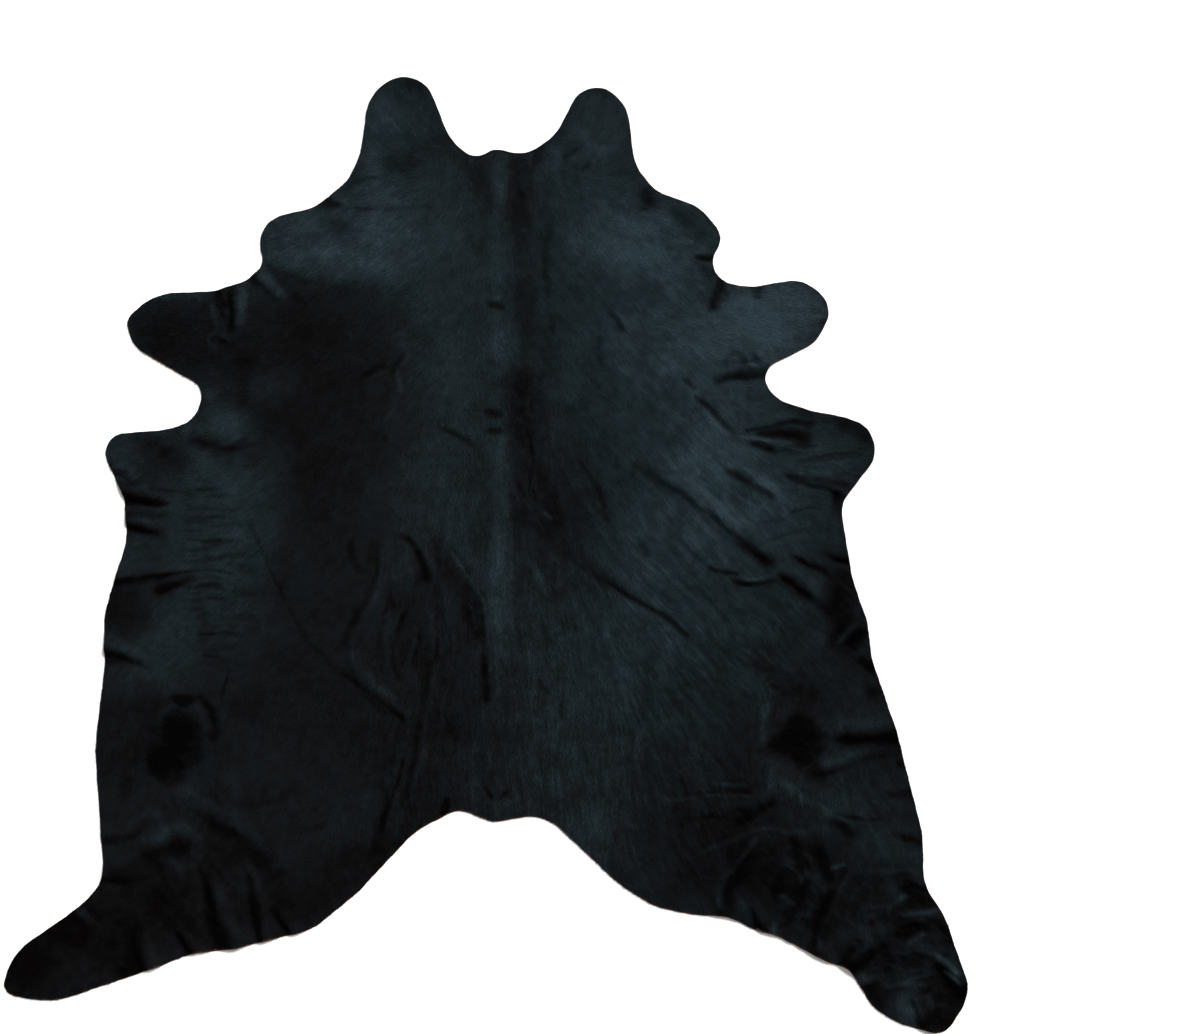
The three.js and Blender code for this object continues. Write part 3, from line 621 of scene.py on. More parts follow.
def bowedLine(row):
    start, end = np.array(row.start), np.array(row.end)
    run = end - start
    left = np.array((-run[1], run[0])) / np.hypot(*run)
    bend = (start + end) / 2 + left * 2 * row.bow
    t = np.linspace(0, 1, relief["foldSteps"] + 1)[:, None]
    return (1 - t) ** 2 * start + 2 * t * (1 - t) * bend + t**2 * end


def throughPoints(before, start, end, beyond, steps):
    t = np.arange(steps)[:, None] / steps
    bend = 2 * before - 5 * start + 4 * end - beyond
    swing = 3 * start - before - 3 * end + beyond
    return (2 * start + (end - before) * t + bend * t**2 + swing * t**3) / 2


def roundedLine(points):
    # a smooth line through a few points
    points = np.array(points)
    if len(points) == 2:
        return points
    padded = np.vstack((2 * points[0] - points[1], points, 2 * points[-1] - points[-2]))
    stretches = [throughPoints(*padded[i:i + 4], relief["lineSteps"]) for i in range(len(points) - 1)]
    return np.vstack(stretches + [points[-1:]])


def windowRound(line, reach):
    first = np.maximum(((line.min(0) - reach - low) / cell).astype(int), 0)
    last = ((line.max(0) + reach - low) / cell).astype(int) + 2
    return slice(first[1], last[1]), slice(first[0], last[0])


def nearestOnLine(line, x, y):
    # at the nearest point: share of the line gone, distance to its left, distance past its ends, and how
    # squarely the light comes from the left there
    steps = np.hypot(*np.diff(line, axis=0).T)
    gone = np.concatenate(([0], np.cumsum(steps)))
    away = np.full(x.shape, np.inf)
    along, aside, past, square = (np.zeros(x.shape) for _ in range(4))
    for i, (start, end) in enumerate(zip(line[:-1], line[1:])):
        run = (end - start) / steps[i]
        left = np.array((-run[1], run[0]))
        ahead = (x - start[0]) * run[0] + (y - start[1]) * run[1]
        over = (x - start[0]) * left[0] + (y - start[1]) * left[1]
        reached = np.clip(ahead, 0, steps[i])
        here = np.hypot(over, ahead - reached)
        nearer = here < away
        away = np.where(nearer, here, away)
        along = np.where(nearer, (gone[i] + reached) / gone[-1], along)
        aside = np.where(nearer, over, aside)
        past = np.where(nearer, ahead - reached, past)
        square = np.where(nearer, left @ lightWay, square)
    return along, aside, past, square


def hump(share):
    return (1 + np.cos(np.pi * np.clip(share, 0, 1))) / 2


def raiseFolds():
    # heights of the folds, and how much painted shade each place takes on the side of a fold that turns from
    # the light
    lift, turned = np.zeros(gridShape), np.zeros(gridShape)
    middle = (relief["gentleHalf"] + relief["steepHalf"]) / 2
    skew = (relief["gentleHalf"] - relief["steepHalf"]) / 2
    comesAndGoes = (softNoise(relief["crestPitch"], relief["seeds"]["crest"]) + 1) / 2
    uneven = 1 - relief["unevenCrest"] * comesAndGoes
    for row in mainFolds:
        line = bowedLine(row)
        window = windowRound(line, row.width * relief["foldReach"])
        along, aside, past, square = nearestOnLine(line, strayedX[window], strayedY[window])
        end = np.where(along < 0.5, 0, row.lip)
        crest = (end + (row.height - end) * np.sin(np.pi * along)) * uneven[window]
        least, more = relief["wedge" if row.lip else "slim"]
        if row.lip:
            width = row.width * (least + more * along)
        else:
            width = row.width * (least + more * np.sin(np.pi * along))
            crest = crest * relief["innerFolds"]
        crest = crest * relief["pressedFolds"].get(row.at, 1)
        shift = relief["litShift"] if row.at in relief["litFolds"] else relief["crestShift"]
        fromCrest = aside - shift * width * square
        half = width * (middle + skew * square * np.sign(fromCrest))
        body = hump(np.hypot(fromCrest / half, past / (relief["endHalf"] * width)))
        lift[window] = np.maximum(lift[window], crest * body)
        # painted shade on the side of the fold away from the key light
        dark = np.where(fromCrest * square < 0, np.abs(square) * 4 * body * (1 - body), 0)
        turned[window] = np.maximum(turned[window], np.minimum(crest / relief["darkCrest"], 1) * dark)
    return lift, turned


def taper(along, length, row):
    # fades a long mark in at its start, and out at its end too unless it opens there
    reach = relief["markTaper"] * max(row.startWidth, row.endWidth)
    if length < 2 * reach:
        return 1
    kept = np.minimum(along * length / reach, 1)
    if row.endWidth < relief["openMark"] * row.startWidth:
        kept = np.minimum(kept, (1 - along) * length / reach)
    return np.sin(kept * np.pi / 2)


def raiseMarks():
    # low ridges, soft troughs, and the painted shade and painted highlights that the marks put on the hair
    ridge, trough, dark, light = (np.zeros(gridShape) for _ in range(4))
    uneven = 1 + relief["unevenMark"] * softNoise(relief["markPitch"], relief["seeds"]["mark"])
    for row in mainMarks:
        line = roundedLine(row.line)
        window = windowRound(line, relief["markReach"] * max(row.startWidth, row.endWidth))
        along, aside, past, _ = nearestOnLine(line, markX[window], markY[window])
        width = row.startWidth + (row.endWidth - row.startWidth) * along
        tone = row.tone * (1 + relief["narrowMark"] / width)
        # half the tone is left at half the width
        shade = tone * uneven[window] * 0.5 ** (2 * np.hypot(aside, past) / width) ** relief["markEdge"]
        shade = shade * taper(along, np.hypot(*np.diff(line, axis=0).T).sum(), row)
        rise = relief["markRise"] * shade * np.minimum(relief["markWidth"] / width, 1)
        ridge[window] = np.maximum(ridge[window], rise)
        trough[window] = np.minimum(trough[window], rise)
        light[window] = np.maximum(light[window], shade)
        dark[window] = np.minimum(dark[window], shade)
    return ridge, trough, dark + light


def wrinkleShape(shape, height):
    if shape == "crest":
        fall, roundness = relief["sharpCrest"]
        return 1 - fall * np.sqrt(height**2 + roundness)
    if shape == "tick":
        begins, grows = relief["thinTick"]
        return -np.clip((height - begins) / grows, 0, 1)
    return height  # a wave


def raiseWrinkles():
    # heights of the small wrinkles, and painted shade in the thin ones
    height, creaseShade = np.zeros(gridShape), np.zeros(gridShape)
    closer, fineShare = relief["fineWrinkles"]
    for i, row in enumerate(wrinkles):
        way = math.radians(row.way)
        x, y = strayedX - row.middle[0], strayedY - row.middle[1]
        run, over = x * math.cos(way) + y * math.sin(way), y * math.cos(way) - x * math.sin(way)
        inside = np.exp(-(((run / row.reach[0]) ** 2 + (over / row.reach[1]) ** 2) ** 2))
        u, v = run / (row.pitch * row.stretch), over / row.pitch
        coarse = noiseAt(u, v, relief["seeds"]["wrinkle"] + i)
        fine = noiseAt(u * closer, v * closer, relief["seeds"]["fineWrinkle"] + i)
        shape = wrinkleShape(row.shape, coarse) + fineShare * wrinkleShape(row.shape, fine)
        height += row.rise * inside * shape
        if row.shape == "tick":
            creaseShade = np.maximum(creaseShade, -inside * shape)
    return height, np.minimum(creaseShade, 1)


def lowSwells():
    # low swells and faint waves under the whole hide
    broad = relief["swell"] * (1 + softNoise(relief["swellPitch"], relief["seeds"]["swell"])) / 2
    return broad + relief["faint"] * (1 + softNoise(relief["faintPitch"], relief["seeds"]["faint"])) / 2


def hairGrain():
    coarse = softNoise(relief["grainPitch"], relief["seeds"]["grain"])
    return coarse + softNoise(relief["grainPitch"] / 2, relief["seeds"]["fineGrain"]) / 2


foldLift, paintedFoldShade = raiseFolds()
ridgeLift, troughDent, markShadeAndHighlight = raiseMarks()
wrinkleLift, shadeInTicks = raiseWrinkles()
swell = lowSwells()
fleshHeight = foldLift + ridgeLift + swell + np.maximum(wrinkleLift, 0)  # underside over the floor
trunk = (np.abs(flatX) < relief["trunk"][0]) & (np.abs(flatY) < relief["trunk"][1])
fleshHeight = np.maximum(fleshHeight - fleshHeight[trunk].min(), 0)  # its lowest place rests on the floor
dented = np.maximum(troughDent + np.minimum(wrinkleLift, 0), -relief["deepest"] * relief["skin"])
creasedHeight = fleshHeight + relief["skin"] + dented
hairBed = creasedHeight + relief["grain"] * hairGrain()  # what the hair grows from
slopeY, slopeX = np.gradient(hairBed, cell)
print("folds raised", len(mainFolds), "and marks", len(mainMarks), round(hairBed.max(), 4))


def sample(field, places):
    spot = np.clip((places[:, :2] - low) / cell, 0, np.array(gridShape)[::-1] - 2)
    column, row = spot.astype(int).T
    shareX, shareY = (spot - spot.astype(int)).T
    near = field[row, column] * (1 - shareX) + field[row, column + 1] * shareX
    far = field[row + 1, column] * (1 - shareX) + field[row + 1, column + 1] * shareX
    return near * (1 - shareY) + far * shareY


# Outline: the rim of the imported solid's hair side, smoothed, with the small unevenness of a hand-trimmed edge
cutEdge = dict(
    merge=1e-5,  # points of the solid this close are one
    hairSide=0.3,  # faces of the solid that look up more than this are its hair side
    parts=3,  # new points for each of the solid's
    wobble=0.0007,
    waves=((61, 0.3), (139, 0.4), (263, 0.3)),  # waves round the hide, and their shares of the wobble
    waveShift=6.3,  # most that a wave is shifted at random, in radians
    slant=(0.0004, 0.0048),  # leather that the knife leaves showing, the least and the most on top of that
    slantWay=(-0.2, -0.98),  # where most of it shows
    slantPower=1.5,  # how soon it dies out round the hide
    patches=(47, 113),  # two sets of waves round the hide that make it patchy
    patchy=(0.7, 0.3),  # mean share of it, and how far that comes and goes
    patchShift=6,
    seeds=dict(wobble=3, slant=4),
)
maskStep = 0.001  # cells of the raster that tells the inside of the hide


def solidRim():
    solid = bmesh.new()
    solid.from_mesh(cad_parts["hide"].data)
    bmesh.ops.remove_doubles(solid, verts=solid.verts, dist=cutEdge["merge"])
    solid.normal_update()
    hairFaces = {face for face in solid.faces if face.normal.z > cutEdge["hairSide"]}
    nextTo = {}
    for edge in solid.edges:
        if sum(face in hairFaces for face in edge.link_faces) == 1:
            a, b = edge.verts
            nextTo.setdefault(a, []).append(b)
            nextTo.setdefault(b, []).append(a)
    rim = [next(iter(nextTo))]
    here, before = nextTo[rim[0]][0], rim[0]
    while here is not rim[0]:
        rim.append(here)
        here, before = next(vert for vert in nextTo[here] if vert is not before), here
    loop = np.array([vert.co[:2] for vert in rim])
    solid.free()
    x, y = loop.T
    clockwise = (x * np.roll(y, -1) - y * np.roll(x, -1)).sum() < 0
    return loop[::-1] if clockwise else loop


def outwardOf(loop):
    ahead = np.roll(loop, -1, axis=0) - np.roll(loop, 1, axis=0)
    out = np.column_stack((ahead[:, 1], -ahead[:, 0]))
    return out / np.hypot(*out.T)[:, None]


def trimmedOutline():
    rim = solidRim()
    around = [np.roll(rim, shift, axis=0) for shift in (1, 0, -1, -2)]
    loop = np.vstack([throughPoints(*corners, cutEdge["parts"]) for corners in zip(*around)])
    rng = np.random.default_rng(cutEdge["seeds"]["wobble"])
    turn = np.linspace(0, 2 * np.pi, len(loop), endpoint=False)
    uneven = 0
    for count, share in cutEdge["waves"]:
        uneven = uneven + share * np.sin(count * turn + rng.uniform(0, cutEdge["waveShift"]))
    return loop + outwardOf(loop) * (uneven * cutEdge["wobble"])[:, None]


def insideMap(loop):
    # which cells of the raster lie inside the outline
    xs = np.arange(low[0], high[0], maskStep)
    ys = np.arange(low[1], high[1], maskStep)
    x0, y0 = loop.T
    x1, y1 = np.roll(loop, -1, axis=0).T
    inside = np.zeros((len(ys), len(xs)), bool)
    for row, y in enumerate(ys):
        meets = (y0 > y) != (y1 > y)
        crossings = np.sort(x0[meets] + (x1 - x0)[meets] * (y - y0[meets]) / (y1 - y0)[meets])
        inside[row] = np.searchsorted(crossings, xs) % 2 == 1
    return inside


def shrunk(inside, cells):
    for _ in range(cells):
        kept = inside.copy()
        kept[1:] &= inside[:-1]
        kept[:-1] &= inside[1:]
        kept[:, 1:] &= inside[:, :-1]
        kept[:, :-1] &= inside[:, 1:]
        inside = kept
    return inside


def isIn(inside, places):
    spot = np.rint((places[:, :2] - low) / maskStep).astype(int)
    spot = np.clip(spot, 0, np.array(inside.shape)[::-1] - 1)
    return inside[spot[:, 1], spot[:, 0]]


outline = trimmedOutline()
inHide = insideMap(outline)
print("outline", len(outline), "points, area", round(inHide.sum() * maskStep**2, 3), "square metres")


# Nap: painted sheen of the hair, lighter or darker where it lies one way or the other to the light, in soft
# oval patches. The edge is how sharply a patch ends, and the turn is in degrees.
sheenRow = namedtuple("sheenRow", "at middle reach tone edge turn", defaults=(1.5, 0))
sheenPlaces = [
    ("left neck", (-327, 713), (195, 104), 33),
    ("foot of the left neck", (-330, 648), (150, 40), 15, 2.5, -6),
    ("left ear", (-187, 995), (72, 90), 12),
    ("tip of the left ear", (-238, 1015), (35, 45), 10),
    ("under the left ear", (-215, 822), (85, 40), 10),
    ("outside of the left ear", (-265, 905), (45, 100), 14),
    ("inside of the left ear", (-225, 930), (40, 130), 8),
    ("right ear", (257, 968), (63, 81), 8),
    ("tip of the right ear", (226, 1030), (40, 30), 10),
    ("foot of the right ear", (257, 885), (150, 130), 14),
    ("forequarters", (0, 480), (1100, 420), 3, 3),
    ("right shoulder", (347, 551), (214, 383), 10),
    ("crest of the right shoulder", (380, 696), (150, 90), 26),
    ("right neck", (170, 660), (80, 120), 8),
    ("right foreleg", (673, 540), (131, 90), 26),
    ("right armpit", (527, 470), (230, 130), 26),
    ("right flank", (490, -11), (259, 281), 13),
    ("right ribs", (369, 11), (130, 110), 10),
    ("right belly line", (360, -214), (80, 150), 7),
    ("under the right shoulder", (460, 259), (120, 70), 7),
    ("over the long crease", (527, 99), (60, 35), -7, 1.5, -40),
    ("foot of the right elbow", (755, 150), (50, 110), 4),
    ("before the right whorl", (650, -190), (70, 50), -4),
    ("middle of the right ham", (684, -664), (80, 50), 5),
    ("under the right elbow", (511, 230), (80, 50), 5, 1.5, -35),
    ("behind the right elbow", (580, 150), (155, 165), 21),
    ("right elbow", (810, 230), (85, 50), 18),
    ("spine", (30, 394), (24, 563), 6),
    ("loin", (30, -101), (32, 225), 5),
    ("right of the spine", (83, 551), (27, 383), -5),
    ("behind the withers", (165, 130), (105, 130), -13),
    ("left flank", (-600, 15), (115, 265), 17, 2),
    ("foot of the left flank", (-695, -210), (60, 80), 9, 3),
    ("left waist", (-800, -30), (70, 200), -4),
    ("left armpit", (-572, 290), (55, 38), 24, 2),
    ("top of the left armpit", (-482, 382), (52, 44), 19, 1.5, 40),
    ("foot of the left foreleg", (-614, 349), (18, 16), 20),
    ("head of the left elbow", (-673, 272), (14, 18), 18),
    ("left elbow", (-815, 225), (55, 50), 14),
    ("left shoulder", (-378, 348), (190, 280), -31, 1.8),
    ("left of the neck", (-345, 750), (60, 70), -5),
    ("left of the withers", (-150, 380), (60, 110), -4),
    ("spine at the shoulder", (40, 520), (50, 90), 4),
    ("spine at the waist", (70, 30), (30, 70), 5),
    ("inside of the left foreleg", (-680, 500), (120, 70), -5, 1.5, -10),
    ("foot of the left shoulder", (-410, 70), (80, 70), -5),
    ("under the left cheek", (-345, 680), (80, 45), -5),
    ("foot of the left ribs", (-420, -124), (70, 60), 4),
    ("over the left shoulder", (-195, 600), (35, 40), 8),
    ("over the third pleat", (-795, 0), (55, 45), 12),
    ("left belly", (-500, -200), (240, 180), -5, 2),
    ("left ribs", (-370, -50), (110, 110), -5),
    ("behind the left shoulder", (-508, 150), (70, 90), 14),
    ("left foreleg", (-684, 495), (124, 90), -24),
    ("left of the spine", (-86, 416), (108, 405), 9),
    ("right rump", (220, -340), (130, 240), 9),
    ("edge of the right rump", (215, -615), (60, 50), 8),
    ("corner of the right rump", (240, -655), (50, 50), 6),
    ("left of the tail's foot", (-110, -510), (90, 60), -5),
    ("foot of the right rump", (330, -570), (150, 80), -4),
    ("right ham", (540, -620), (150, 160), -14),
    ("edge of the right ham", (460, -748), (60, 50), -15),
    ("right stifle hollow", (610, -462), (100, 70), -14, 1.5, -20),
    ("calf", (842, -844), (45, 45), 10),
    ("left rump", (-325, -335), (281, 281), -18),
    ("left hip", (-490, -470), (120, 60), 6),
    ("left of the tail", (-110, -380), (100, 250), -9),
    ("left thigh", (-666, -641), (225, 259), -17),
    ("left ham", (-600, -790), (300, 110), -20, 1.5, 8),
    ("left buttock", (-270, -700), (210, 60), -21, 1.5, 32),
    ("left shin", (-985, -905), (200, 150), -28, 1.5, 25),
    ("left toe", (-1045, -915), (80, 70), -24, 1.5, 35),
    ("left whorl", (-696, -392), (34, 45), -26, 3),
    ("right side of the left whorl", (-661, -397), (22, 36), -14, 2),
    ("edge beside it", (-866, -345), (30, 40), -10),
    ("head of the left whorl", (-675, -315), (28, 14), -55, 3),
    ("foot of the left whorl", (-693, -443), (60, 26), -12, 4),
    ("under its foot", (-720, -479), (38, 45), -24, 4, 25),
    ("right of its foot", (-666, -506), (40, 36), 16),
    ("left of its foot", (-776, -488), (16, 20), 10),
    ("spot below it", (-799, -529), (18, 25), -16),
    ("over the left whorl", (-725, -238), (100, 55), 4, 3),
    ("beside the left whorl", (-815, -408), (125, 116), -17, 4),
    ("right whorl", (712, -413), (58, 52), -42, 3, 40),
    ("left point of the right whorl", (664, -425), (40, 19), -26, 2, 12),
    ("top of the right whorl", (706, -370), (22, 26), -22, 2),
    ("foot of the right whorl", (730, -474), (42, 28), -26, 3, -38),
    ("head of the right whorl", (716, -306), (62, 40), -16, 2),
    ("over the right whorl", (706, -350), (76, 52), -16, 3),
    ("behind the right whorl", (870, -455), (80, 40), -6, 1.5, 10),
    ("beside the right whorl", (801, -455), (35, 26), 20),
    ("right flank edge", (810, -126), (34, 88), -38, 1.5, 10),
    ("right thigh edge", (955, -480), (30, 120), -8, 1.5, 14),
    ("left flank edge", (-808, -130), (62, 64), -30, 2),
    ("right thigh", (808, -821), (330, 150), -28, 1.8, -30),
    ("edge behind the thigh", (780, -905), (80, 50), 7, 1.5, -30),
    ("foot of the ham", (570, -790), (60, 40), 6),
    ("lower edge of the ham", (345, -718), (65, 45), -6, 1.5, -28),
    ("right belly", (864, -338), (86, 140), -6),
    ("right heel", (944, -1012), (36, 54), 31, 2, -8),
    ("tip of the right toe", (1050, -1025), (60, 65), -24),
    ("right stifle", (892, -672), (62, 55), 18),
]
sheenPatches = [
    sheenRow(at, inMetres(middle), inMetres(reach), tone / 100, *others)
    for at, middle, reach, tone, *others in sheenPlaces
]
sheenPaint = dict(
    base=0.50,
    least=0.02,
    falloff=0.8,  # how soon a patch dies out from its middle
    mottle=0.06,
    mottlePitch=0.055,
    fleck=0.07,
    fleckPitch=0.013,
    stray=((0.090, 0.016), (0.030, 0.006)),  # pitch and reach of a patch's uneven border
    wrinkleLightAndShade=34.0,  # painted highlight on a wrinkle's crest and painted shade beside it, for each metre of its height
    mostWrinkleLightAndShade=0.14,
    tickShade=0.15,  # painted shade in a thin wrinkle
    foldShade=0.12,  # painted shade where a fold turns the hair from the light
    seeds=dict(mottle=31, fleck=32, borderX=41, borderY=51),
)


def paintedSheenAndShade():
    # painted sheen of the nap in patches, random mottle and flecks, and the painted shade and highlights of
    # wrinkles, marks and folds
    tone = np.full(gridShape, sheenPaint["base"])
    borderX = wandering(sheenPaint["stray"], sheenPaint["seeds"]["borderX"])
    borderY = wandering(sheenPaint["stray"], sheenPaint["seeds"]["borderY"])
    for row in sheenPatches:
        x, y = flatX + borderX - row.middle[0], flatY + borderY - row.middle[1]
        turn = math.radians(row.turn)
        run = (x * math.cos(turn) + y * math.sin(turn)) / row.reach[0]
        over = (y * math.cos(turn) - x * math.sin(turn)) / row.reach[1]
        tone += row.tone * np.exp(-((run**2 + over**2) ** row.edge) * sheenPaint["falloff"])
    tone += sheenPaint["mottle"] * softNoise(sheenPaint["mottlePitch"], sheenPaint["seeds"]["mottle"])
    tone += sheenPaint["fleck"] * softNoise(sheenPaint["fleckPitch"], sheenPaint["seeds"]["fleck"])
    tone += np.clip(sheenPaint["wrinkleLightAndShade"] * wrinkleLift, -sheenPaint["mostWrinkleLightAndShade"], sheenPaint["mostWrinkleLightAndShade"])
    tone += markShadeAndHighlight - sheenPaint["tickShade"] * shadeInTicks - sheenPaint["foldShade"] * paintedFoldShade
    return np.clip(tone, sheenPaint["least"], 1)


sheenAndShadeMap = paintedSheenAndShade()
print("nap toned", len(sheenPatches), "patches")


# Finishes: black hair, the bed it grows from, the suede flesh side and the raw cut edge
blackHair = dict(
    name="blackHair",
    tones=(  # share of the nap's painted sheen, and the colour there, brown-black where it is dark and a painted teal slate reflection where it is light
        (0.00, (0.0012, 0.0008, 0.0006)),
        (0.25, (0.0037, 0.0035, 0.0039)),
        (0.50, (0.0059, 0.0079, 0.0092)),
        (0.75, (0.0112, 0.0178, 0.0205)),
        (1.00, (0.0244, 0.0388, 0.0488)),
    ),
    rootToTip=(0.70, 1.10),  # painted shade at the root, and the lighter tip
    gloss=0.008,
    glossTint=(0.72, 0.92, 1.0, 1.0),
    roughness=(0.62, 0.50),  # where the nap is dark, and where it is light
)
hairRoots = dict(
    name="hairBed",
    gaps=(900, 3),  # scale and detail of the noise between the hairs
    # painted shade of the bed under the hair, darker or lighter with that noise
    gapShade=(0.35, 0.85),
    fibres=(700, 4),
    bump=(0.5, 0.0006),  # strength and depth
)
suede = dict(
    name="suedeBack",
    clouds=(9, 5),
    stains=(  # pale grey-beige with darker cloudy stains
        (0.30, (0.20, 0.155, 0.115)),
        (0.55, (0.33, 0.27, 0.21)),
        (0.75, (0.41, 0.35, 0.28)),
    ),
    roughness=0.92,
    gloss=0.15,
    sheen=0.12,
    fibres=(850, 3),
    bump=(0.45, 0.0005),
)
rawEdge = dict(
    name="rawLeatherEdge",
    clouds=(26, 4),
    stains=(  # orange brown with dark stretches
        (0.34, (0.03, 0.009, 0.003)),
        (0.50, (0.12, 0.030, 0.006)),
        (0.68, (0.22, 0.060, 0.012)),
    ),
    roughness=0.75,
    gloss=0.2,
    sheen=0.0,
    fibres=(600, 4),
    bump=(0.6, 0.0004),
)


def newFinish(name):
    finish = bpy.data.materials.new(name)
    finish.use_nodes = True
    nodes = finish.node_tree.nodes
    return finish, nodes, finish.node_tree.links, nodes["Principled BSDF"]


def addRamp(nodes, links, source, stops):
    ramp = nodes.new("ShaderNodeValToRGB")
    elements = ramp.color_ramp.elements
    while len(elements) < len(stops):
        elements.new(0.5)
    for element, (place, colour) in zip(elements, stops):
        element.position = place
        element.color = (*colour, 1.0)
    links.new(source, ramp.inputs["Fac"])
    return ramp.outputs["Color"]


def addAttribute(nodes, name):
    reader = nodes.new("ShaderNodeAttribute")
    reader.attribute_name = name
    return reader.outputs["Fac"]


def addNoise(nodes, links, scale, detail):
    place = nodes.new("ShaderNodeTexCoord")
    noise = nodes.new("ShaderNodeTexNoise")
    noise.inputs["Scale"].default_value = scale
    noise.inputs["Detail"].default_value = detail
    links.new(place.outputs["Object"], noise.inputs["Vector"])
    return noise.outputs["Fac"]


def addRange(nodes, links, source, least, most):
    spread = nodes.new("ShaderNodeMapRange")
    spread.inputs["To Min"].default_value = least
    spread.inputs["To Max"].default_value = most
    links.new(source, spread.inputs["Value"])
    return spread.outputs["Result"]


def addBump(nodes, links, shader, look):
    strength, depth = look["bump"]
    bump = nodes.new("ShaderNodeBump")
    bump.inputs["Strength"].default_value = strength
    bump.inputs["Distance"].default_value = depth
    links.new(addNoise(nodes, links, *look["fibres"]), bump.inputs["Height"])
    links.new(bump.outputs["Normal"], shader.inputs["Normal"])


def paintedSheenColour(nodes, links, shader, shade):
    # black hair painted with the nap's sheen, times a painted shade
    tone = addAttribute(nodes, "tone")
    shaded = nodes.new("ShaderNodeMix")
    shaded.data_type = "RGBA"
    shaded.blend_type = "MULTIPLY"
    shaded.inputs["Factor"].default_value = 1.0
    links.new(addRamp(nodes, links, tone, blackHair["tones"]), shaded.inputs["A"])
    links.new(shade, shaded.inputs["B"])
    links.new(shaded.outputs["Result"], shader.inputs["Base Color"])
    links.new(addRange(nodes, links, tone, *blackHair["roughness"]), shader.inputs["Roughness"])
    shader.inputs["Specular IOR Level"].default_value = blackHair["gloss"]
    shader.inputs["Specular Tint"].default_value = blackHair["glossTint"]


def makeHairFinish():
    finish, nodes, links, shader = newFinish(blackHair["name"])
    # painted shade at the root of each hair, lighter towards its tip
    shade = addRange(nodes, links, addAttribute(nodes, "tip"), *blackHair["rootToTip"])
    paintedSheenColour(nodes, links, shader, shade)
    return finish


def makeHairBedFinish():
    finish, nodes, links, shader = newFinish(hairRoots["name"])
    # the bed under the hair takes the hair's painted sheen, darkened by painted shade that comes and goes with
    # a noise
    gaps = addNoise(nodes, links, *hairRoots["gaps"])
    paintedSheenColour(nodes, links, shader, addRange(nodes, links, gaps, *hairRoots["gapShade"]))
    addBump(nodes, links, shader, hairRoots)
    return finish


def makeLeatherFinish(look):
    finish, nodes, links, shader = newFinish(look["name"])
    clouds = addNoise(nodes, links, *look["clouds"])
    links.new(addRamp(nodes, links, clouds, look["stains"]), shader.inputs["Base Color"])
    shader.inputs["Roughness"].default_value = look["roughness"]
    shader.inputs["Specular IOR Level"].default_value = look["gloss"]
    shader.inputs["Sheen Weight"].default_value = look["sheen"]
    addBump(nodes, links, shader, look)
    return finish


hairFinish = makeHairFinish()
skinFinishes = [makeHairBedFinish(), makeLeatherFinish(suede), makeLeatherFinish(rawEdge)]
hairFace, fleshFace, wallFace = range(3)  # in the order of those finishes
print("finishes made")


# Skin: one closed sheet, close points on the folds and wide ones between, hair bed over flesh side
skin = dict(
    name="hideSkin",
    closeStep=0.0060,
    wideStep=0.0108,
    closeSlope=0.05,  # steeper than this takes the close points
    besideSteep=2,  # cells beside a steep place that take them too
    clearEdge=5,  # millimetre cells between the outline and the first inner point
    weld=1e-7,
    smoothAngle=50.0,
)
bakeMap = dict(
    name="OFBake",
    size=(0.48, 0.92),  # share of the map that each side of the hide takes
    corner=(0.01, 0.07),
    fleshShift=0.5,
    strips=5,  # rows that hold the cut edge, along the foot of the map
    stripCorner=(0.02, 0.004),
    stripLength=0.95,
    stripHeight=0.009,
    stripPitch=0.012,
)


def hexPoints(step):
    rows = np.arange(low[1], high[1], step * math.sin(math.pi / 3))
    columns = np.arange(low[0], high[0], step)
    x, y = np.meshgrid(columns, rows)
    x[1::2] += step / 2
    return np.column_stack((x.ravel(), y.ravel()))


def meshFromArrays(name, points, triangles):
    mesh = bpy.data.meshes.new(name)
    mesh.vertices.add(len(points))
    mesh.vertices.foreach_set("co", points.astype(np.float32).ravel())
    mesh.loops.add(triangles.size)
    mesh.loops.foreach_set("vertex_index", triangles.astype(np.int32).ravel())
    mesh.polygons.add(len(triangles))
    mesh.polygons.foreach_set("loop_start", np.arange(0, triangles.size, 3, dtype=np.int32))
    mesh.update(calc_edges=True)
    piece = bpy.data.objects.new(name, mesh)
    bpy.context.scene.collection.objects.link(piece)
    return piece


def setValues(piece, name, values):
    piece.data.attributes.new(name, "FLOAT", "POINT").data.foreach_set("value", values.astype(np.float32))


def setBakeMap(piece, cornerPlaces):
    layer = piece.data.uv_layers.new(name=bakeMap["name"])
    layer.data.foreach_set("uv", cornerPlaces.astype(np.float32).ravel())


def innerPoints():
    clear = shrunk(inHide, skin["clearEdge"])
    bendY, bendX = np.gradient(creasedHeight - swell, cell)
    steep = np.hypot(bendX, bendY)
    shifts = (-skin["besideSteep"], 0, skin["besideSteep"])
    steep = np.maximum.reduce([np.roll(steep, shift, axis) for shift in shifts for axis in (0, 1)])
    close, wide = hexPoints(skin["closeStep"]), hexPoints(skin["wideStep"])
    close = close[isIn(clear, close) & (sample(steep, close) > skin["closeSlope"])]
    wide = wide[isIn(clear, wide) & (sample(steep, wide) <= skin["closeSlope"])]
    return np.vstack((close, wide))


